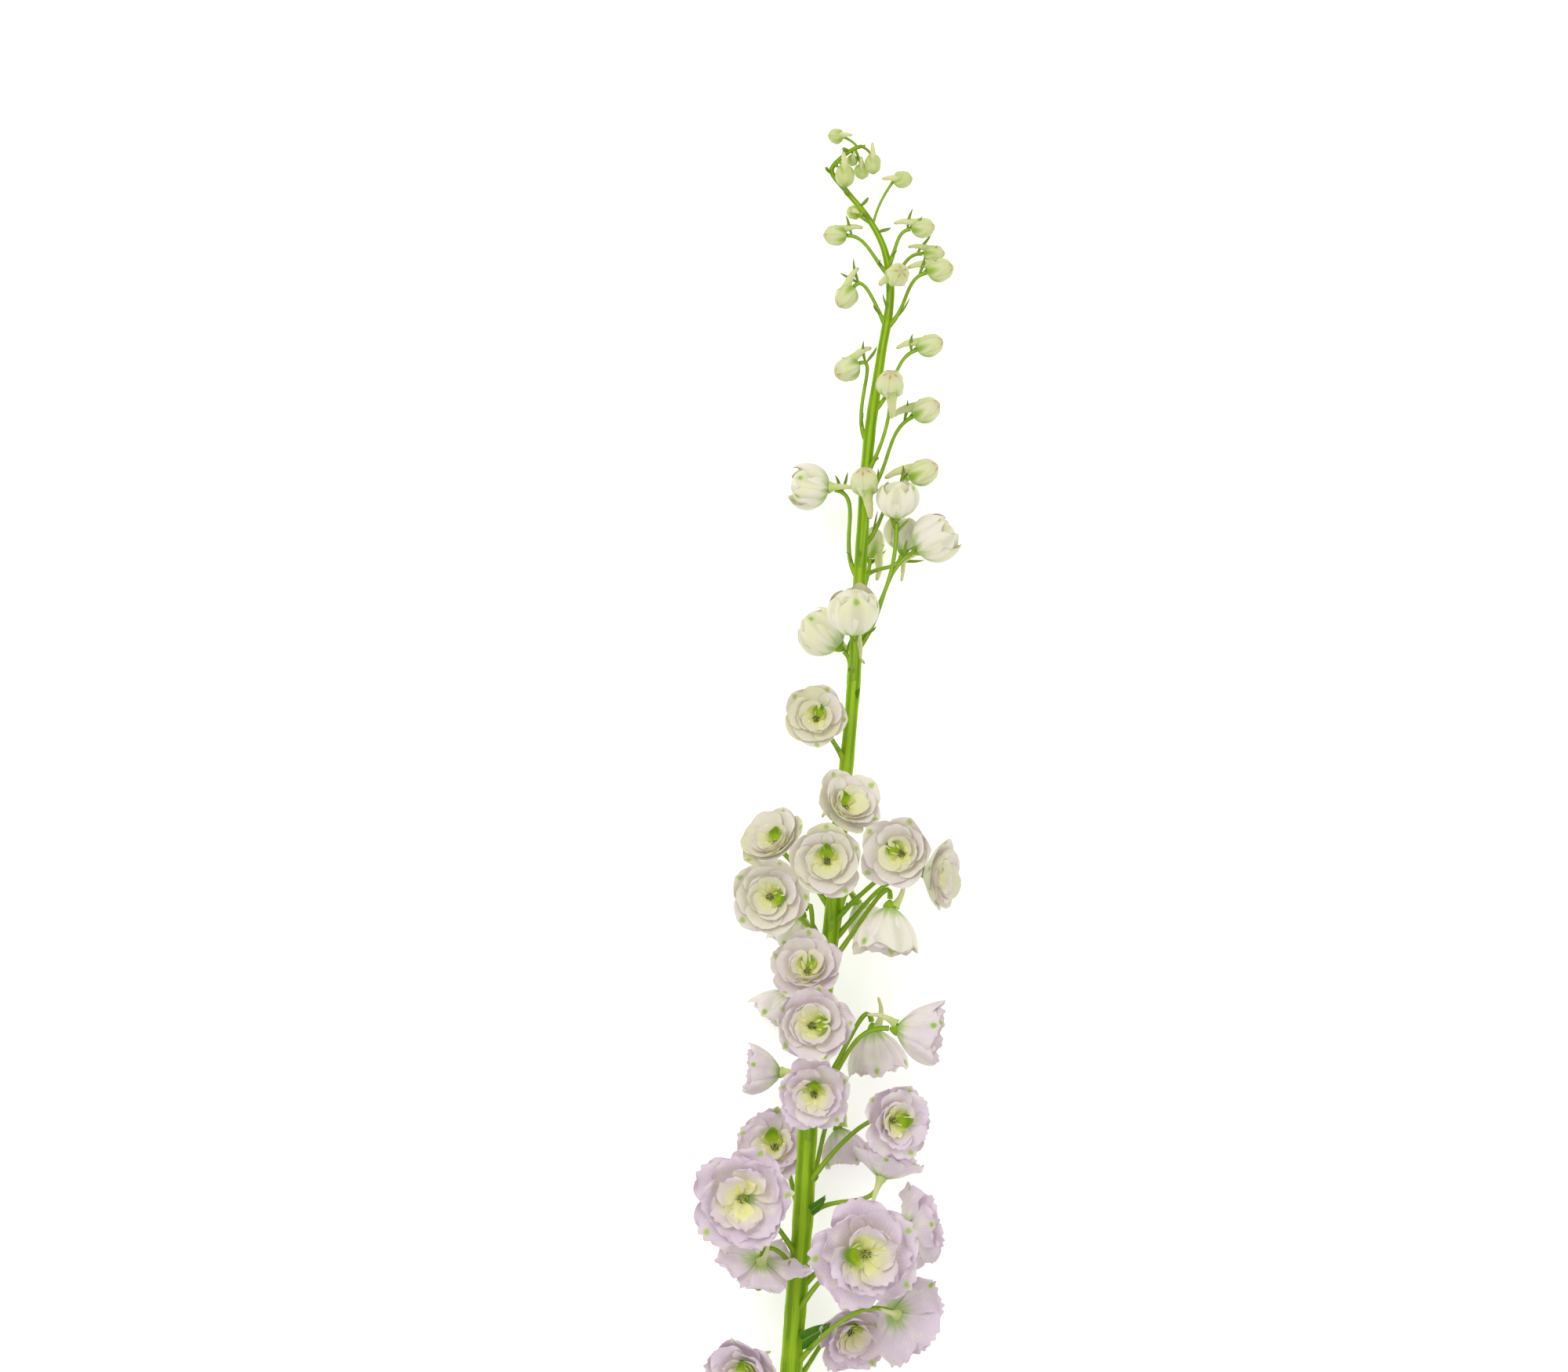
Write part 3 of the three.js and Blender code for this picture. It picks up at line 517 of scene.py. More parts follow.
def finish_piece(name, bm, slot, *nodes):
    """Makes a shape a piece of the spike that stands for its nodes of the frame."""
    for vert in bm.verts:
        if vert.co.z < TABLE_PRESS:
            vert.co.z = TABLE_PRESS * math.exp(vert.co.z / TABLE_PRESS - 1)
    for edge in bm.edges:
        edge.smooth = len(edge.link_faces) != 2 or edge.calc_face_angle(0) < math.radians(SHARP)
    used = sorted({face.material_index for face in bm.faces})
    for face in bm.faces:
        face.material_index = used.index(face.material_index)
    bm.transform(Matrix.Scale(MM, 4))
    mesh = bpy.data.meshes.new(name)
    bm.to_mesh(mesh)
    bm.free()
    for index in used:
        mesh.materials.append(finish_named(FINISHES[index]))
    made = placed(name, mesh)
    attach(made, "root")
    if nodes:
        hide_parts(*nodes)


# ---------------------------------------------------------------- petals


def petal_surface(petal):
    """The surface of a petal in its floret's frame: it leaves the root ring, bends evenly to its
    tip, wraps round the floret, and has a crease along its middle and waves in its margins."""
    start, end = (math.radians(angle) for angle in petal["rise"])
    bend = end - start
    length, width, seed = petal["length"], petal["width"], petal["seed"]
    angle = math.radians(petal["angle"])
    out = Vector((math.cos(angle), math.sin(angle), 0))
    side = Vector((out.y, -out.x, 0))
    waves = 1.3 + 1.2 * draw(seed, 4)
    phases = [2 * math.pi * draw(seed, n) for n in (5, 6, 7)]
    lean = spread(seed, 8, 0.06)
    ruffle, crumple = petal["ruffle"], petal["crumple"]

    def surface(across, along):
        share = along * (1 - petal["corner"] * across**2 * along**4 + lean * 0.3 * across * along**2)
        if petal["ragged"]:
            share *= 1 - petal["ragged"] * along**5 * (0.5 + 0.5 * math.sin(9 * across + phases[0]))
        slope = start + bend * share
        reach = petal["root"] + length * (math.sin(slope) - math.sin(start)) / bend
        closing = max(0, (along - PETAL_WIDEST) / (1 - PETAL_WIDEST))
        outline = math.sin(math.pi / 2 * min(along / PETAL_WIDEST, 1)) ** petal["claw"]
        outline *= math.sqrt(1 - TIP_SQUARENESS * closing**2) * (1 - petal["point"] * closing**2)
        half = width / 2 * outline
        normal = out * -math.sin(slope) + Vector((0, 0, math.cos(slope)))
        bow = max(reach, LEAST_BOW * length)
        turned = half * across / bow
        steep = math.sin(max(slope, 0))
        lift = bow * (1 - math.cos(turned)) * steep
        aside = half * across + (bow * math.sin(turned) - half * across) * steep
        lift += half * (petal["hollow"] * across**2 + petal["overlap"] * across)
        phase = phases[1] if across > 0 else phases[2]
        wave = math.sin(2 * math.pi * waves * along + phase) * across**2 * along
        wave += 0.5 * math.sin(4.5 * across + phases[0]) * along**4
        crinkle = math.sin(12 * across + 9 * along * abs(across) + phases[1])
        wave += 0.3 * crinkle * max(across**2, along**6) * along
        lift += ruffle * half * wave
        lift -= MIDRIB[0] * half * math.exp(-((across / MIDRIB[1]) ** 2)) * (1 - along**3)
        lift += petal["pleat"] * half * math.cos(2 * math.pi * across) * math.sin(math.pi * along**0.8)
        spot = Vector((across * 1.3 + seed * 3.7, along * 2.2, seed * 1.9))
        lift += crumple * length * along * noise.noise(spot)
        lift += petal["curl"] * length * along**4
        point = out * reach + side * aside + normal * lift
        point.z += length * (math.cos(start) - math.cos(slope)) / bend
        return point, normal

    return surface


def grow_petal(bm, place, petal):
    thickness = bpy.context.scene.delphinium_petals.thickness / MM
    marks = [petal[mark] for mark in MARKS]
    blade(bm, place, petal_surface(petal), "petal", thickness, petal["finishes"], marks)


def petal_ring(bm, place, seed, angles, stray, petal):
    """A ring of like petals, each straying a little from the rule."""
    for i, angle in enumerate(angles):
        lift = spread(seed, 10 * i + 3, stray)
        own = {
            "angle": angle + spread(seed, 10 * i + 1, stray),
            "length": petal["length"] * (1 + spread(seed, 10 * i + 2, LENGTH_STRAY)),
            "rise": [rise + lift for rise in petal["rise"]],
            "root": petal["length"] * ROOT_RING,
            "seed": seed * 1.37 + i * 0.71,
            "flush": min(1, max(0, petal["flush"] + spread(seed, 10 * i + 4, FLUSH_STRAY))),
            "spot": petal["spot"] * (0.25 + 0.75 * eased(draw(seed, 10 * i + 5), 0.2, 0.6)),
        }
        grow_petal(bm, place, {**petal, **own})


def flush_at(y):
    """How lilac a floret is: white at the top of the spike, lilac at its foot."""
    white, lilac = FLUSH_HEIGHTS
    return PALEST_FLUSH + (1 - PALEST_FLUSH) * eased(-y, -white, -lilac)


# ---------------------------------------------------------------- floret bodies


def grow_spur(bm, place, length, root, offset, start, flush):
    """The horn behind a floret, flaring where it leaves the sepals and blunt at its tip."""
    line = Line(through([(0, offset * aside, start - length * down) for aside, down in SPUR_LINE], 8))
    line = Line([place @ point for point in line.points])

    def radius_at(share):
        body = root * (1 - SPUR_TAPER * share) * (1 + 0.55 * math.exp(-9 * share))
        return body * math.sqrt(max(0, 1 - max(0, (share - 0.86) / 0.14) ** 2.6))

    def relief(turn, share):
        return 1 + 0.05 * math.sin(3 * turn + 8 * share) + 0.03 * math.sin(31 * share)

    tube(bm, line, radius_at, "spur", "horn_spur", (flush, 0, 0), relief)


def grow_receptacle(bm, place, radius):
    """The green cushion that the sepals grow from, narrowing into the stalk."""

    def moved(p, turn):
        wide = radius * (0.74 + 0.3 * min(p.z, 0)) * (1 + 0.06 * math.cos(5 * turn))
        return p.x * wide, p.y * wide, p.z * radius * (RECEPTACLE_DEPTH if p.z < 0 else 0.6)

    rounded(bm, place, "receptacle", moved, "green_receptacle")


def grow_stamens(bm, place, length, seed):
    """Pale bent filaments with dark anthers, crowded in the eye."""
    for i in range(STAMENS):
        angle = i * STAMEN_TURN + spread(seed, 900 + i, 0.4)
        lean = length * (0.015 + 0.08 * math.sqrt((i + 0.5) / STAMENS))
        height = length * (0.25 + spread(seed, 930 + i, 0.06))
        top = Vector((math.cos(angle) * lean, math.sin(angle) * lean - length * 0.03, height))
        foot = Vector((top.x * 0.35, top.y * 0.35, length * 0.07))
        middle = foot.lerp(top, 0.55) + Vector((top.x, top.y, 0)) * 0.45
        line = Line([place @ p for p in through([foot, middle, top], 4)])
        tube(bm, line, lambda share: 0.36 - 0.14 * share, "filament", "pale_filament")
        size = 0.42 + 0.14 * draw(seed, 960 + i)
        stretch = Vector((0.75, 1.25, 0.7)) * size
        marks = (0, draw(seed, 990 + i), 0)
        rounded(bm, place, "anther", lambda p, turn: p * stretch + top, "dark_anther", marks)


def grow_eye(bm, form, place, length, seed, throat):
    """The small yellow petals in the middle and the stamens between them. The throat, a green channel
    into the spur, is a deep scoop beside them with its sides rolled up."""
    rise = EYE_RISE["bell" if form == "bell" else "open"]
    lifted = place @ Matrix.Translation((0, -0.03 * length, RECEPTACLE * RECEPTACLE_DEPTH * length * 0.5))
    petal = dict(EYE_PETAL, length=length * 0.6, width=length * 0.46, rise=rise)
    petal_ring(bm, lifted, seed + 70, EYE_RING, EYE_STRAY, petal)
    if throat:
        sizes = {"length": length * 0.66, "width": length * 0.56, "root": length * 0.02}
        grow_petal(bm, lifted, {**THROAT, **sizes, "seed": seed + 0.5})
    grow_stamens(bm, place, length, seed)


def grow_floret(bm, form, place, length, seed, flush):
    """Sepals, the rings of petals inside them, spur and receptacle."""
    settings = bpy.context.scene.delphinium_petals
    rise, width, reach, stray, ruffle, curl = FORMS[form]
    width, reach = length * width, length * reach
    hold = "closed" if form in CLOSED_FORMS else "spread"
    sepals = {
        **PLAIN_PETAL,
        "length": reach,
        "width": width,
        "rise": rise,
        "claw": SEPAL_CLAW,
        "ruffle": ruffle * settings.ruffle * (0.35 + flush),
        "crumple": settings.crumple * (0.4 + (hold == "spread") * flush),
        "curl": curl,
        "flush": flush,
        "depth": 0,
        "spot": 1,
        "ragged": 0.1 if form == "star" else 0.07 * flush,
        "point": {"star": 0.5, "cup": 0.2}.get(form, 0.15 * flush),
        "corner": 0.09 if form in ("bowl", "open") else 0.14,
        "overlap": PETAL_OVERLAP[hold],
        "pleat": PLEAT[hold],
    }
    petal_ring(bm, place, seed, [90 + 360 / SEPAL_COUNT * i for i in range(SEPAL_COUNT)], stray, sepals)
    for n, (angles, shorter, narrower, rise, depth) in enumerate(RINGS[form]):
        claw = SEPAL_CLAW + (PETAL_CLAW - SEPAL_CLAW) * depth
        inner = dict(sepals, length=reach * shorter, width=width * narrower, rise=rise, claw=claw)
        inner.update(depth=depth, spot=0.5 if n == 0 else 0)
        petal_ring(bm, place, seed + 50 + 20 * n, angles, stray, inner)
    grow_receptacle(bm, place, length * RECEPTACLE)
    grow_spur(bm, place, *SPUR_SIZE, 0, flush)


def grow_core(bm, place, length, seed):
    """The young petals folded over each other that fill a half-open cup."""

    def moved(p, turn):
        share = (turn * 5 / (2 * math.pi) + 0.8 * p.z + 0.1 * seed) % 1
        fullness = 0.385 * length * (1 + 0.14 * (share - 0.5) * math.sqrt(1 - p.z**2))
        fullness *= 1 - 0.06 * (1 - math.cos(5 * turn)) * max(p.z, 0)
        height = 0.44 * p.z**0.6 if p.z > 0 else 0.38 * p.z
        top = height + 0.04 * noise.noise(Vector((p.x * 2 + seed, p.y * 2, 0))) * max(p.z, 0)
        return p.x * fullness, p.y * fullness, length * (0.4 + top)

    rounded(bm, place, "core", moved, "waxy_petal_back", (0.1, 0.3, 0))


def grow_bud(bm, place, length, width, spur, seed, flush):
    """A closed bud: five sepals folded over each other, each with one edge on top of the next."""

    def moved(p, turn):
        lobe = 1 - 0.05 * (1 - math.cos(5 * turn))
        share = (turn * 5 / (2 * math.pi) + 0.35 * p.z + 0.13) % 1
        lobe += 0.12 * (share - 0.5) * (1 - p.z**4)
        fullness = 0.54 * width * lobe * (1 - 0.06 * p.z)
        pinch = 1 - 0.15 * eased(p.z, 0.82, 1)
        dent = 0.02 * noise.noise(Vector((p.x * 1.7 + seed, p.y * 1.7, p.z * 1.7)))
        fullness *= (1 + dent) * pinch * (1 + 0.1 * eased(p.z, 0.1, 0.8))
        return p.x * fullness, p.y * fullness, p.z * length / 2 + 0.03 * length * eased(p.z, 0.9, 1)

    rounded(bm, place, "bud", moved, "bud_sepal", (flush, 0, draw(seed, 3)))
    grow_spur(bm, place, length * spur, width * 0.24, width * 0.36, -0.12 * length, flush)


# ---------------------------------------------------------------- stem, stalks and blades

STEM = Line(through([row[:3] for row in STEM_LINE], 24))
STEM_REACH = [0.0]
for row_a, row_b in zip(STEM_LINE, STEM_LINE[1:]):
    STEM_REACH.append(STEM_REACH[-1] + math.dist(row_a[:3], row_b[:3]))


def stem_radius(share):
    after, part = between(STEM_REACH, share)
    thick, thin = STEM_LINE[after - 1][3], STEM_LINE[after][3]
    return thick + (thin - thick) * part


def stem_share(y):
    """The share of the stem's length at a height below the nodding tip."""
    low, high = 0.0, STEM_CLIMB
    while high - low > 1e-5:
        middle = (low + high) / 2
        low, high = (middle, high) if STEM.place(middle).y < y else (low, middle)
    return low


def bezier(a, b, c, d, steps):
    shares = [i / steps for i in range(steps + 1)]
    return [
        a * (1 - s) ** 3 + b * 3 * s * (1 - s) ** 2 + c * 3 * s * s * (1 - s) + d * s**3 for s in shares
    ]


def stalk_line(foot_y, at, facing, depth):
    """Out of the stem and up it, then into the floret's back the way it faces."""
    ahead = Vector(facing).normalized()
    back = Vector(at) - ahead * (depth + SEAT_GAP)
    share = stem_share(foot_y)
    foot, along = STEM.place(share), STEM.along(share)
    span = (back - foot).length
    out = back - foot
    out = (out - along * out.dot(along)).normalized()
    foot = foot + out * stem_radius(share) * 0.5
    leaving = (out * 0.6 + along * 0.8).normalized()
    return Line(bezier(foot, foot + leaving * span * 0.42, back - ahead * span * 0.35, back, 40))


def all_stalks():
    """(line, radius, kind, seed) of every flower stalk."""
    made = []
    for i, (_, at, facing, _, length, _, foot) in enumerate(BUDS):
        made.append((stalk_line(foot, at, facing, length / 2), STALKS["bud"], "bud", i + 200))
    for i, (_, form, at, facing, _, length, foot) in enumerate(FLORETS):
        kind = "cup" if form == "cup" else "bloom"
        line = stalk_line(foot, at, facing, length * RECEPTACLE * RECEPTACLE_DEPTH)
        made.append((line, STALKS[kind], kind, i + 300))
    return made


def grow_blade(bm, foot, direction, length, size, curl, seed, finish="bract_skin", fold=0.35, wave=0.0):
    """A pointed leaf or bract from its foot, folded along its midrib and curling as it goes."""
    width, thickness = size
    place = Matrix.Translation(foot) @ Vector(direction).to_track_quat("Y", "Z").to_matrix().to_4x4()

    def surface(across, along):
        angle = curl * along
        ahead = length * math.sin(angle) / curl
        rise = length * (1 - math.cos(angle)) / curl
        half = width / 2 * math.sin(math.pi * min(0.04 + along**0.8, 1)) ** 0.8
        half = max(half, 0.25 * (1 - along))
        normal = Vector((0, -math.sin(angle), math.cos(angle)))
        lift = fold * half * abs(across) - 0.1 * half * math.exp(-((across / 0.2) ** 2))
        lift += wave * half * across**2 * math.sin(9 * along + seed + 2 * across)
        sway = 0.1 * length * math.sin(2.5 * along + seed) * along
        return Vector((across * half + sway, ahead, rise)) + normal * lift, normal

    blade(bm, place, surface, "leaf", thickness, (finish, finish), (draw(seed, 1), 0, 0))


# ---------------------------------------------------------------- finishes


def add(tree, kind, sockets=(), out=0, **settings):
    """Adds a node with its settings, fills or links its sockets, and gives one of its outputs. Where
    the node works something out, its kind is followed by the operation."""
    kind, _, operation = kind.partition(" ")
    made = tree.nodes.new("ShaderNode" + kind)
    if operation:
        made.operation = operation
    for key, value in settings.items():
        setattr(made, key, value)
    for key, value in sockets.items() if isinstance(sockets, dict) else enumerate(sockets):
        socket = made.inputs[key]
        if isinstance(value, bpy.types.NodeSocket):
            tree.links.new(value, socket)
        elif socket.type == "RGBA":
            socket.default_value = (*(linear(value) if isinstance(value, str) else value), 1)
        else:
            socket.default_value = value
    return made.outputs[out] if made.outputs else made


TIMES = "Math MULTIPLY"
PLUS = "Math MULTIPLY_ADD"  # the first times the second, plus the third


def per_mm(size):
    """The scale that gives a pattern that many millimetres across."""
    return 1 / (size * MM)


class Skin:
    """What all finishes share: the surface's own axes, the marks of its points, and noises in it, each
    told by its size in mm and its detail."""

    def __init__(self, name, *grains):
        self.material = bpy.data.materials.new(name)
        self.material.use_nodes = True
        self.material.node_tree.nodes.clear()
        self.node = node = functools.partial(add, self.material.node_tree)
        self.around = node("SeparateXYZ", [node("UVMap", uv_map="skin")])
        self.along = self.around.node.outputs["Y"]
        self.place = node("TexCoord", out="Object")
        self.marks = [node("Attribute", out="Fac", attribute_name=mark) for mark in MARKS]
        centred = node(PLUS, [self.around, 2, -1])
        self.across = node("Math ABSOLUTE", [centred])
        self.grains = [
            node("TexNoise", {"Vector": self.place, "Scale": per_mm(size), "Detail": detail})
            for size, detail in grains
        ]

    def chain(self, value, *steps):
        """Takes a value through node after node: each step is a kind and what fills its other sockets."""
        for kind, *others in steps:
            value = self.node(kind, [value, *others])
        return value

    def stripes(self, axis, times):
        """Fine lines at even steps of an axis: 0 on a line and 1 between."""
        return self.chain(axis, (TIMES, times), ("Math SINE",), ("Math ABSOLUTE",))

    def coats(self, base, layers):
        """Lays colours over each other: (mask, from, to, strength, colour) for each."""
        for mask, low, high, strength, colour in layers:
            ends = [mask, low, high, 0, strength]
            share = self.node("MapRange", ends, interpolation_type="SMOOTHSTEP")
            base = self.node("Mix", {0: share, 6: base, 7: colour}, out=2, data_type="RGBA")
        return base

    def surface(self, colour, bump, depth_mm, **shader):
        """Ends the finish in one shader with a bumped surface."""
        normal = self.node("Bump", {"Height": bump, "Distance": depth_mm * MM})
        body = self.node("BsdfPrincipled", {"Base Color": colour, "Normal": normal, **shader})
        self.node("OutputMaterial", [body])
        return self.material


# Light passes some way into green tissue. A petal is too thin to hold it, and its cells only scatter
# it: a pale colour and a faint sheen give that.
TISSUE = {
    "Subsurface Weight": 0.15,
    "Subsurface Radius": (1.0, 0.8, 0.5),
    "Subsurface Scale": 0.0015,
    "Specular IOR Level": 0.12,
}
# Painted light: a petal glows faintly, a light of its own that stands for the light coming through it from
# behind.
GLOWING_THIN_TISSUE = {
    "Specular IOR Level": 0.25,
    "Sheen Weight": 0.12,
    "Emission Color": "#f2e4e6",
    "Emission Strength": 0.08,
}


def petal_finish(name, back):
    """Delphinium petal: soft papery cells, matt with a faint wax. It gives the eye a milky white that a
    faint painted glow makes look slightly see-through, turns lilac to the rim, and has fine lengthwise veins
    and a thin dry edge."""
    petals = bpy.context.scene.delphinium_petals
    skin = Skin(name, (7, 4), (1.1, 3))
    node, around, along, across = skin.node, skin.around, skin.along, skin.across
    flush, depth, spotted = skin.marks
    clouds, fine = skin.grains

    # About fifteen veins a petal, drawn a little wider than real ones so that they show.
    veins = node(PLUS, [clouds, 0.06, around])
    rays = skin.chain(veins, (TIMES, 9 * math.pi), ("Math SINE",))
    veins = skin.stripes(veins, 15 * math.pi)
    lines = skin.chain(flush, (PLUS, 0.22, 0.1), ("Math SUBTRACT", veins))

    # Towards the rim an old petal is lilac and a young one is green.
    rim = node("Math MAXIMUM", [along, node(TIMES, [across, 0.97])])
    patches = node(PLUS, [clouds, 3.2, -0.6])
    lilac = skin.chain(rim, (PLUS, 0.75, 0.35), (TIMES, patches), (TIMES, flush))
    young = node(PLUS, [clouds, 0.12, flush])
    fresh = node(PLUS, [flush, -4, rim])

    # The root is green, and an inner petal is cream from there to past its middle.
    low = node(PLUS, [rays, 0.035, node(PLUS, [clouds, -0.12, along])])
    inward = node("Math SUBTRACT", [1.25, along])
    cream = skin.chain(depth, (PLUS, 1.5, 0.3), (TIMES, inward))
    rib = node(PLUS, [along, 0.5, across])

    # In the troughs of its folds a young sepal's outside is darker grey-green: part green tint, part painted
    # shade in the troughs.
    folds = skin.chain(across, (TIMES, 2 * math.pi), ("Math COSINE",))
    folds = node(PLUS, [flush, -1.6, node(PLUS, [fine, 0.8, folds])])

    # One green spot inside the tip of a sepal.
    aside = node("CombineXYZ", [node(TIMES, [across, 0.45]), along])
    away = node("VectorMath DISTANCE", [aside, (0, 0.88, 0)], out="Value")
    away = node(PLUS, [fine, 0.04, node(PLUS, [clouds, 0.08, away])])
    spot = skin.chain(spotted, (TIMES, 0.155), ("Math SUBTRACT", away))

    colour = skin.coats(
        petals.white,
        [
            (young, 0.42, 0.08, 0.6, "#dadbb4"),
            (fresh, 0.35, 0.7, 0.5, "#d5d596"),
            (lilac, 0.05, 0.95, 0.9, petals.lilac),
            (cream, 0.25, 0.95, 0.85, petals.cream),
            # painted shade and a green tint in the fold troughs, on the outside only
            (folds, -0.5, 1.5, 0.5 if back else 0.0, "#b6b99a"),
            (lines, 0.0, 0.3, 0.4, petals.vein),
            (rib, 0.3, 0.05, 0.3 if back else 0.08, petals.green),
            (low, 0.34 if back else 0.2, 0.02, 0.9, petals.green),
            (rim, 0.965, 1.0, 0.35, petals.rim),
            (spot, -0.025, 0.035, 0.75, "#b9cf62"),
            (spot, 0.01, 0.06, 0.8 if back else 0.5, "#7a9d2e"),
        ],
    )
    relief = node(PLUS, [veins, 0.35, fine])
    return skin.surface(colour, relief, 0.1, Roughness=0.52, **GLOWING_THIN_TISSUE)


def bud_finish(name):
    """Closed delphinium sepal: smooth waxy skin, cream with green rays from its foot, a green spot
    on each sepal and a pinkish beige tip. The youngest are green all over."""
    petals = bpy.context.scene.delphinium_petals
    skin = Skin(name, (5, 4), (0.9, 3))
    node, along = skin.node, skin.along
    clouds, fine = skin.grains
    turn = node(PLUS, [clouds, 0.5, node(TIMES, [skin.around, 10 * math.pi])])
    lobes = node("Math COSINE", [turn])
    veins = skin.stripes(turn, 4)
    rays = node(PLUS, [clouds, 0.12, node(PLUS, [lobes, -0.14, along])])
    tip = node(PLUS, [clouds, 0.2, along])
    knob = skin.chain(along, ("Math SUBTRACT", 0.87), ("Math ABSOLUTE",))
    knob = node(PLUS, [lobes, 0.1, knob])
    colour = skin.coats(
        "#d9dca8",
        [
            (clouds, 0.4, 0.7, 0.6, "#e2deca"),
            (tip, 0.75, 1.05, 0.6, "#cfaf90"),
            (veins, 0.3, 0.0, 0.4, "#b4bd72"),
            # Painted shade: darker green along the sunken seams between the sepals.
            (lobes, -0.8, -1.0, 0.4, "#b9c27a"),
            (knob, -0.02, -0.07, 0.75, "#93a93a"),
            (rays, 0.58, 0.2, 0.95, petals.green),
            (skin.marks[0], 0.0, 1.0, 0.75, "#b0c452"),
        ],
    )
    relief = node(PLUS, [veins, 0.4, fine])
    return skin.surface(colour, relief, 0.12, Roughness=0.42, **TISSUE)


def stem_finish(name, lit_ridge, shaded_furrow, ribs, counts):
    """Delphinium stem: juicy ribbed skin under a thin wax. Ridges lit by a painted highlight, furrows
    darkened by painted shade, long fine streaks, and a soft gloss. Counts says how many streaks there are
    round it and along it."""
    skin = Skin(name, (18, 3))
    node = skin.node
    axes = node("CombineXYZ", [skin.around, skin.along])
    stretched = node("Mapping", {"Vector": axes, "Scale": (*counts, 1)})
    streaks = node("TexNoise", {"Vector": stretched, "Scale": 1, "Detail": 3})
    # Painted highlight and painted shade: lighter on the rib tops and darker in the furrows, following the
    # ribs round.
    waves = skin.chain(skin.around, (TIMES, 2 * math.pi * ribs), ("Math COSINE",))
    waves = node(PLUS, [streaks, 0.9, waves])
    colour = skin.coats(
        lit_ridge,
        [
            (waves, 1.3, -0.5, 0.75, shaded_furrow),
            (streaks, 0.5, 0.75, 0.45, "#b1d242"),
            (streaks, 0.47, 0.25, 0.4, "#4d7406"),
            (skin.grains[0], 0.5, 0.7, 0.3, "#abc52f"),
        ],
    )
    return skin.surface(colour, streaks, 0.25, Roughness=0.5, **TISSUE)


def leaf_finish(name, green, dark):
    """Thin leaf: leathery upper skin with a paler midrib, side veins and a browning tip."""
    skin = Skin(name, (4, 4), (0.6, 3))
    clouds, fine = skin.grains
    veins = skin.stripes(skin.node(PLUS, [skin.across, -0.6, skin.along]), 40)
    colour = skin.coats(
        green,
        [
            (clouds, 0.4, 0.7, 0.6, dark),
            (veins, 0.3, 0.0, 0.3, "#93b64f"),
            (skin.across, 0.12, 0.02, 0.7, "#a1c45f"),
            (skin.along, 0.82, 1.0, 0.6, "#897440"),
        ],
    )
    relief = skin.node(PLUS, [veins, 0.6, fine])
    return skin.surface(colour, relief, 0.15, Roughness=0.45, **TISSUE)


def grown_finish(name, base, foot, tip, edge, speckle, roughness):
    """Small soft part of a flower: colour that runs from foot to tip and to the edges, with fine
    speckles. Foot, tip and edge say where their colour starts and is full, and what it is."""
    skin = Skin(name, (2.2, 3), (0.5, 3))
    clouds, fine = skin.grains
    along = skin.node(PLUS, [clouds, 0.2, skin.along])
    aside = skin.node(PLUS, [clouds, 0.3, skin.across])
    coats = [
        (along, foot[0] + 0.1, foot[1] + 0.1, 0.95, foot[2]),
        (along, tip[0] + 0.1, tip[1] + 0.1, 0.9, tip[2]),
        (aside, edge[0] + 0.15, edge[1] + 0.15, 0.8, edge[2]),
        (fine, 0.55, 0.75, 0.5, speckle),
    ]
    return skin.surface(skin.coats(base, coats), fine, 0.12, Roughness=roughness, **TISSUE)


NO_EDGE = (2, 3, "#ffffff")


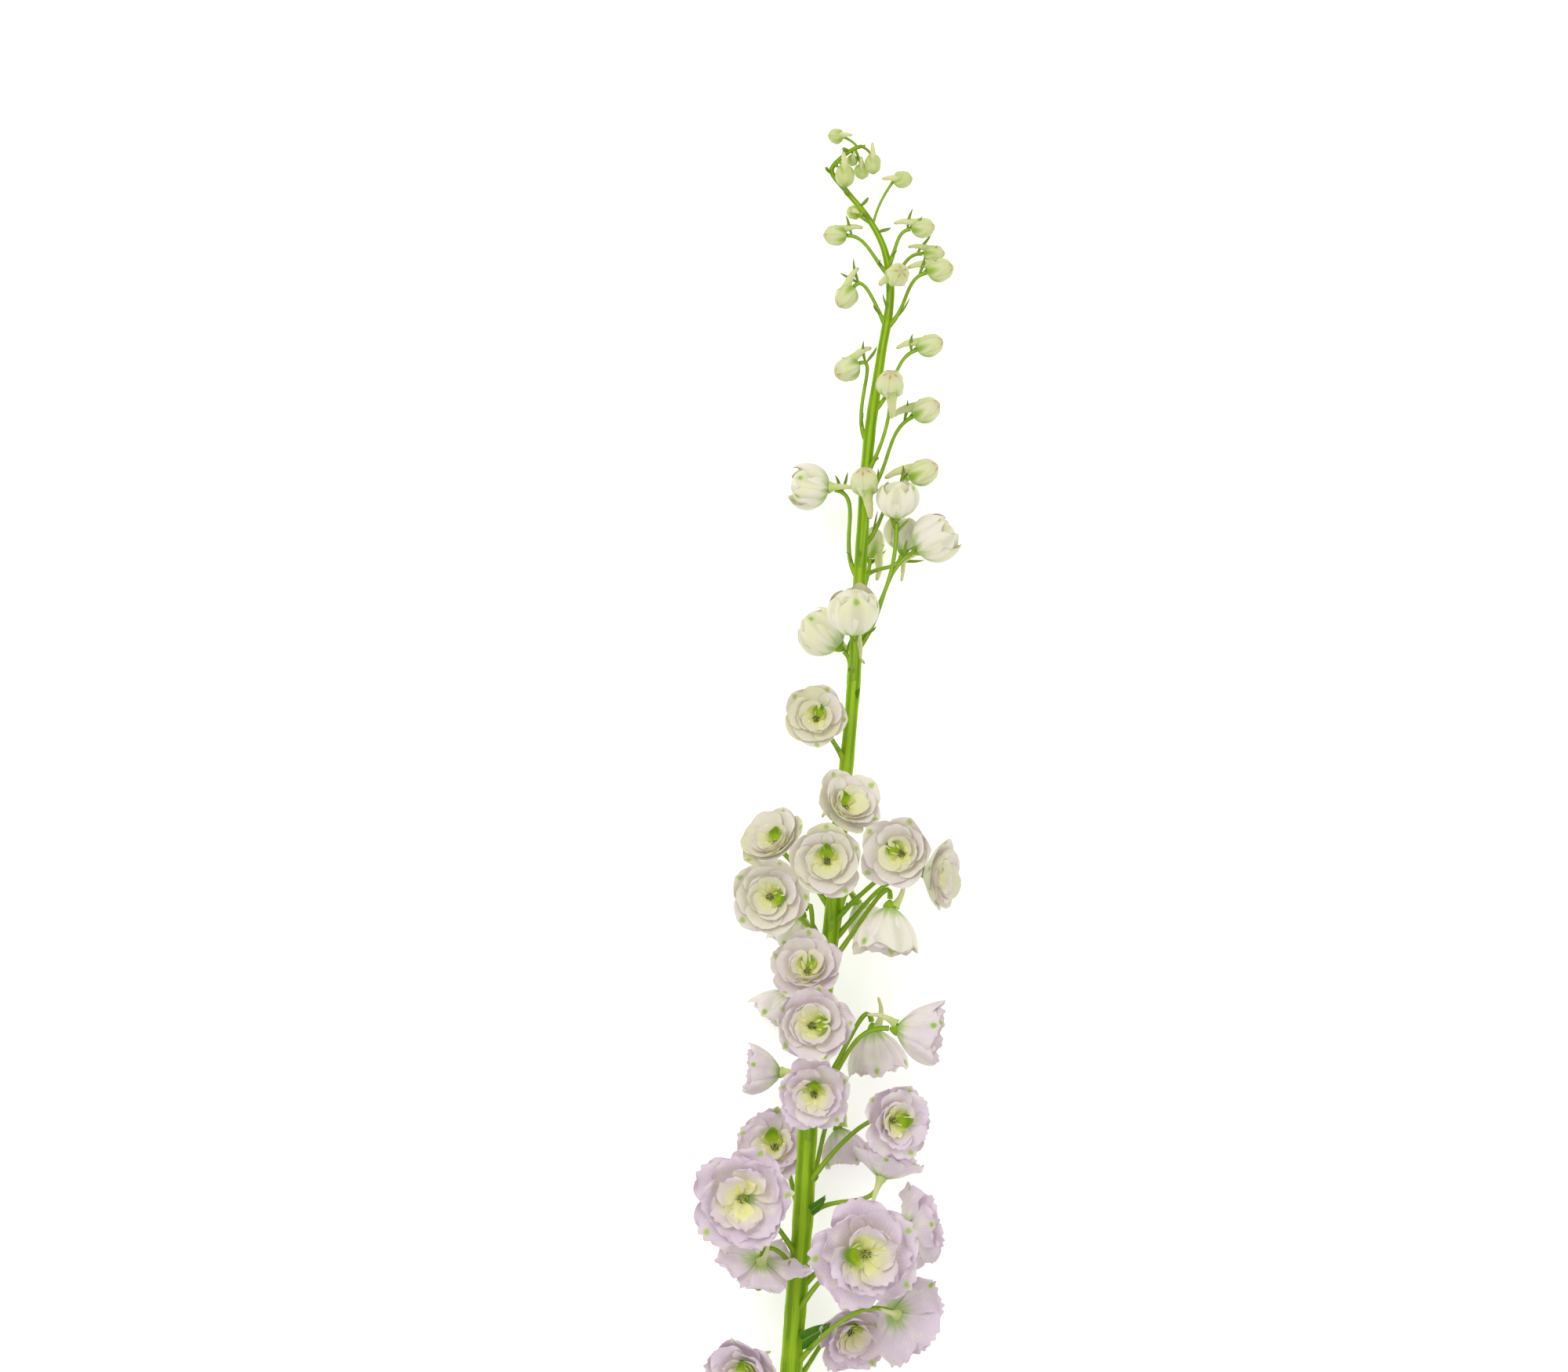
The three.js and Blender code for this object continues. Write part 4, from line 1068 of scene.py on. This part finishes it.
def finish_named(name):
    """The finish of that name, made the first time that it is asked for."""
    stem, petals = bpy.context.scene.delphinium_stem, bpy.context.scene.delphinium_petals
    made = bpy.data.materials.get(name)
    if made:
        return made
    makers = {
        "waxy_petal_face": (petal_finish, False),
        "waxy_petal_back": (petal_finish, True),
        "bud_sepal": (bud_finish,),
        # Stem and stalks: the first colour is the rib tops with a painted highlight, the second the painted
        # shade of the furrows.
        "ribbed_stem_skin": (stem_finish, stem.lit_ridge, stem.shaded_furrow, stem.ribs, (70, 30)),
        "stalk_skin": (stem_finish, stem.stalk, "#6e9717", 3, (16, 4)),
        "leaf_blade": (leaf_finish, stem.leaf, "#406e19"),
        "bract_skin": (leaf_finish, "#9aba40", "#869e3c"),
    }
    if name in makers:
        make, *looks = makers[name]
        return make(name, *looks)
    green, yellow, cream = petals.green, petals.yellow, (0.6, 1, "#f3f0cc")
    runs = {
        # Horn of a sepal: greenish beige and half matt, browning at its blunt tip.
        "horn_spur": ("#d6d79f", (0.5, 0, "#bfd079"), (0.85, 1, "#bfa67c"), NO_EDGE, "#bcc47c", 0.5),
        # Cushion under the sepals: firm green tissue, paler towards them.
        "green_receptacle": (green, (0.4, 0, "#88ae31"), (0.6, 1, "#acc954"), NO_EDGE, "#689124", 0.5),
        # Small petal of the eye: soft and pale yellow, greener at its root and lightest at its edge.
        "yellow_eye_petal": (yellow, (0.3, 0.05, "#bccf48"), cream, (0.5, *cream[1:]), "#f6f4d2", 0.5),
        # Wall of the channel: wet-looking yellow-green, with painted shade darkening it where it deepens
        # into the spur.
        "green_throat": (
            "#a9c62c", (0.35, 0.05, "#dfe184"), (0.45, 0.8, "#6b981b"), (0.6, 1, "#dcdf92"), "#c0d64c", 0.4
        ),
        # Thread of a stamen: pale and faintly green.
        "pale_filament": ("#f3f7b8", (0.4, 0, "#d4e27d"), (0.7, 1, "#e2e2ab"), NO_EDGE, "#ffffdf", 0.5),
        # Anther: dry dark sac, dusted with pollen.
        "dark_anther": ("#6c7448", (0.4, 0, "#747d49"), (0.7, 1, "#394031"), NO_EDGE, "#929761", 0.6),
        # Cut end: damp pale pith with a rough grain.
        "stem_pith": ("#f3f8c9", (0.4, 0, "#e6efaf"), (0.7, 1, "#dce499"), NO_EDGE, "#ffffec", 0.7),
    }
    return grown_finish(name, *runs[name])


# ---------------------------------------------------------------- operators


class DELPHINIUM_OT_stem(bpy.types.Operator):
    """Grows the ribbed main stem with its cut end"""

    bl_idname = "delphinium.stem"
    bl_label = "Ribbed stem"

    def execute(self, context):
        stem = context.scene.delphinium_stem
        bm = new_shape()
        feet = [stem_share(row[6]) for row in (*BUDS, *FLORETS)]

        def relief(turn, share):
            ribs = 1 - stem.rib_depth * (0.5 - 0.5 * math.cos(stem.ribs * turn))
            near = [(share - foot) * STEM.length for foot in feet if abs(share - foot) < 0.02]
            swell = sum(math.exp(-((away / SWELL_REACH) ** 2)) for away in near)
            grain = 0.02 * noise.noise(Vector((math.cos(turn) * 2, math.sin(turn) * 2, share * 60)))
            return ribs + SWELL * min(swell, 1.2) + grain

        def radius_at(share):
            return stem_radius(share) * math.sqrt(max(0, 1 - max(0, (share - 0.998) / 0.002) ** 2))

        ends = tube(bm, STEM, radius_at, "stem", "ribbed_stem_skin", relief=relief)
        cut = min(ends, key=lambda end: end.calc_center_median().y)
        cut.material_index = FINISHES.index("stem_pith")
        bmesh.ops.inset_individual(bm, faces=[cut], thickness=CUT_WALL, use_even_offset=True)
        bmesh.ops.inset_individual(bm, faces=[cut], thickness=0.4, depth=-PITH_DEPTH, use_even_offset=True)
        finish_piece("ribbed_stem", bm, "stem", "stem")
        return {"FINISHED"}


class DELPHINIUM_OT_stalks(bpy.types.Operator):
    """Grows a stalk from the stem to every bud, cup and bloom"""

    bl_idname = "delphinium.stalks"
    bl_label = "Flower stalks"

    def execute(self, context):
        bm = new_shape()
        for line, radius, _, seed in all_stalks():
            def radius_at(share, radius=radius):
                return radius * (1 + 0.6 * (1 - share) ** 5 + 0.25 * share**8)

            def relief(turn, share, seed=seed):
                return 1 + 0.06 * math.cos(3 * turn + seed) + 0.03 * math.sin(40 * share + seed)

            tube(bm, line, radius_at, "stalk", "stalk_skin", (draw(seed, 6), 0, 0), relief)
        finish_piece("flower_stalks", bm, "stem")
        return {"FINISHED"}


class DELPHINIUM_OT_bracts(bpy.types.Operator):
    """Grows the bracts at the feet of the stalks and the bracteoles below buds and cups"""

    bl_idname = "delphinium.bracts"
    bl_label = "Bracts"

    def execute(self, context):
        bm = new_shape()
        for line, _, kind, seed in all_stalks():
            if kind == "bloom" and draw(seed, 9) < BARE_BLOOMS:
                continue
            leaving = line.along(0.14)
            leaving.x += spread(seed, 1, 0.3)
            leaving.z += 0.25 + spread(seed, 2, 0.3)
            curl = 0.5 + 1.6 * draw(seed, 12)
            long = BRACT_LENGTH + 4 * draw(seed, 13)
            grow_blade(bm, line.place(0.12), leaving, long, FOOT_BRACT, curl, seed)
            if kind == "bloom":
                continue
            for side in (1, -1):
                ahead = line.along(0.7)
                aside = Vector((ahead.y, -ahead.x, 0.4 * side)).normalized()
                direction = ahead + aside * side * (0.25 + 0.3 * draw(seed, 3 + side))
                curl = 0.3 + 0.9 * draw(seed, 14 + side)
                long = BRACT_LENGTH + 3 * draw(seed, 16 + side)
                foot = line.place(0.9 + spread(seed, 3 + side, 0.03))
                grow_blade(bm, foot, direction, long, BRACTEOLE, curl, seed + side)
        for i in range(12):
            foot = STEM.place(0.925 + 0.0065 * i)
            direction = (math.cos(2.2 * i), 0.4 + 0.6 * math.sin(2.2 * i), 0.3)
            grow_blade(bm, foot, direction, BRACT_LENGTH, TIP_BRACT, 1.2 + 0.1 * i, i)
        finish_piece("bract_blades", bm, "stem")
        return {"FINISHED"}


class DELPHINIUM_OT_leaves(bpy.types.Operator):
    """Grows the leaves on the stem"""

    bl_idname = "delphinium.leaves"
    bl_label = "Stem leaves"

    def execute(self, context):
        bm = new_shape()
        for i, (foot_y, direction, length, width) in enumerate(LEAVES):
            foot = STEM.place(stem_share(foot_y))
            size = (width, LEAF_THICKNESS)
            grow_blade(bm, foot, direction, length, size, 0.45, i, "leaf_blade", fold=0.3, wave=0.2)
        finish_piece("stem_leaves", bm, "stem")
        return {"FINISHED"}


class DELPHINIUM_OT_tip_buds(bpy.types.Operator):
    """Grows the green buds at the nodding tip"""

    bl_idname = "delphinium.tip_buds"
    bl_label = "Tip buds"

    def execute(self, context):
        bm = new_shape()
        for i, (at, facing, length, width, share) in enumerate(TIP_BUDS):
            foot, ahead = STEM.place(share), Vector(facing).normalized()
            back = Vector(at) - ahead * length * 0.4
            middle = foot.lerp(back, 0.5) - ahead * length * 0.35
            line = Line(bezier(foot, foot.lerp(middle, 0.67), back.lerp(middle, 0.67), back, 16))
            tube(bm, line, lambda share: 0.7 + 0.2 * share**6, "tip_stalk", "stalk_skin")
            place = placing(at, facing, (0.1, 0.2, 1))
            grow_bud(bm, place, length, width, TIP_SPUR, i + 40, TIP_GREEN)
        finish_piece("tip_bud_cluster", bm, "bud")
        return {"FINISHED"}


class DELPHINIUM_OT_buds(bpy.types.Operator):
    """Grows the closed buds"""

    bl_idname = "delphinium.buds"
    bl_label = "Closed buds"

    def execute(self, context):
        for i, (node, at, facing, spur_side, length, width, _) in enumerate(BUDS):
            bm = new_shape()
            place = placing(at, facing, spur_side)
            grow_bud(bm, place, length, width, BUD_SPUR, i, BUD_GREEN * eased(at[1], *BUD_HEIGHTS))
            finish_piece(node.replace("bud", "closed_bud"), bm, "bud", node)
        return {"FINISHED"}


def florets(kind):
    """Number, node, form, place, height and petal length of each cup or each bloom."""
    for i, (node, form, at, facing, spur_side, length, _) in enumerate(FLORETS):
        if node.startswith(kind):
            yield i, node, form, placing(at, facing, spur_side), at[1], length


class DELPHINIUM_OT_cups(bpy.types.Operator):
    """Grows the half-open cups"""

    bl_idname = "delphinium.cups"
    bl_label = "Half-open cups"

    def execute(self, context):
        for i, node, form, place, _, length in florets("cup"):
            bm = new_shape()
            grow_floret(bm, form, place, length, i, CUP_FLUSH)
            grow_core(bm, place, length, i)
            finish_piece(node.replace("cup", "half_open_cup"), bm, "cup", node)
        return {"FINISHED"}


class DELPHINIUM_OT_blooms(bpy.types.Operator):
    """Grows the double blooms"""

    bl_idname = "delphinium.blooms"
    bl_label = "Double blooms"

    def execute(self, context):
        for i, node, form, place, y, length in florets("bloom"):
            bm = new_shape()
            grow_floret(bm, form, place, length, i, flush_at(y))
            if node[-2:] not in EYED:
                grow_eye(bm, form, place, length, i, form != "bell")
            slot = "petal_lilac" if node[-2:] in LILAC_SLOT else "petal_white"
            finish_piece(node.replace("bloom", "double_bloom"), bm, slot, node)
        return {"FINISHED"}


class DELPHINIUM_OT_eyes(bpy.types.Operator):
    """Grows the yellow eyes of the widest blooms"""

    bl_idname = "delphinium.eyes"
    bl_label = "Bloom eyes"

    def execute(self, context):
        for i, node, form, place, _, length in florets("bloom"):
            if node[-2:] in EYED:
                bm = new_shape()
                grow_eye(bm, form, place, length, i, node[-2:] not in HIDDEN_THROATS)
                finish_piece(node.replace("bloom", "bloom_eye"), bm, "eye", node.replace("bloom", "eye"))
        return {"FINISHED"}


class DELPHINIUM_OT_stage(bpy.types.Operator):
    """Lays the floor and sets the soft light and the camera above it"""

    bl_idname = "delphinium.stage"
    bl_label = "Stage"

    def execute(self, context):
        scene, stage = context.scene, context.scene.delphinium_stage
        bm = new_shape()
        bmesh.ops.create_grid(bm, x_segments=8, y_segments=8, size=FLOOR_REACH)
        mesh = bpy.data.meshes.new("paper_floor")
        bm.to_mesh(mesh)
        bm.free()
        floor = placed("paper_floor", mesh)
        # Matt paper: a pale even white with faint fibres.
        skin = Skin("matt_paper", (1.5, 3))
        fibres = skin.grains[0]
        colour = skin.coats(stage.floor, [(fibres, 0.4, 0.8, 0.3, "#fdfdfc")])
        glow = {"Emission Color": (1, 1, 1), "Emission Strength": stage.glow}
        mesh.materials.append(skin.surface(colour, fibres, 0.02, Roughness=0.85, **glow))

        world = bpy.data.worlds.new("studio")
        world.use_nodes = True
        world.node_tree.nodes.clear()
        light = add(world.node_tree, "Background", [(1, 1, 1), stage.sky])
        add(world.node_tree, "OutputWorld", [light])
        scene.world = world
        aim = Vector(AIM)
        for name, place, size, power in LAMPS:
            lamp = bpy.data.lights.new(name, "AREA")
            lamp.shape, lamp.size, lamp.energy = "DISK", size, stage.lamp * power
            holder = placed(name, lamp)
            holder.location = place
            holder.rotation_euler = (aim - Vector(place)).to_track_quat("-Z", "Y").to_euler()
        lens = bpy.data.cameras.new("camera")
        lens.lens, lens.sensor_width, lens.clip_end = stage.lens, SENSOR, 100
        camera = placed("camera", lens)
        camera.location = aim + Vector((0, 0, stage.distance))
        scene.camera = camera
        scene.view_settings.view_transform = "Standard"
        return {"FINISHED"}


class DELPHINIUM_PT_panel(bpy.types.Panel):
    """Lists the pieces of the spike in the order that they are grown"""

    bl_idname = "DELPHINIUM_PT_panel"
    bl_label = "Delphinium"
    bl_space_type = "VIEW_3D"
    bl_region_type = "UI"
    bl_category = "Delphinium"

    def draw(self, context):
        for settings, (_, operators) in PANEL.items():
            box = self.layout.box()
            group = getattr(context.scene, settings)
            for key in group.bl_rna.properties.keys():
                if key not in ("rna_type", "name"):
                    box.prop(group, key)
            for operator in operators:
                box.operator(operator.bl_idname)


STEM_OPERATORS = (DELPHINIUM_OT_stem, DELPHINIUM_OT_stalks, DELPHINIUM_OT_bracts, DELPHINIUM_OT_leaves)
BUD_OPERATORS = (DELPHINIUM_OT_tip_buds, DELPHINIUM_OT_buds)
FLORET_OPERATORS = (DELPHINIUM_OT_cups, DELPHINIUM_OT_blooms, DELPHINIUM_OT_eyes)
PANEL = {
    "delphinium_stem": (StemSettings, STEM_OPERATORS),
    "delphinium_petals": (PetalSettings, BUD_OPERATORS + FLORET_OPERATORS),
    "delphinium_stage": (StageSettings, (DELPHINIUM_OT_stage,)),
}
OPERATORS = [operator for _, operators in PANEL.values() for operator in operators]
CLASSES = (*(group for group, _ in PANEL.values()), *OPERATORS, DELPHINIUM_PT_panel)


def register():
    for made in CLASSES:
        bpy.utils.register_class(made)
    for name, (group, _) in PANEL.items():
        setattr(bpy.types.Scene, name, bpy.props.PointerProperty(type=group))


def unregister():
    for name in PANEL:
        delattr(bpy.types.Scene, name)
    for made in reversed(CLASSES):
        bpy.utils.unregister_class(made)


def main():
    register()
    for operator in OPERATORS:
        area, verb = operator.bl_idname.split(".")
        getattr(getattr(bpy.ops, area), verb)()


if __name__ == "__main__":
    main()
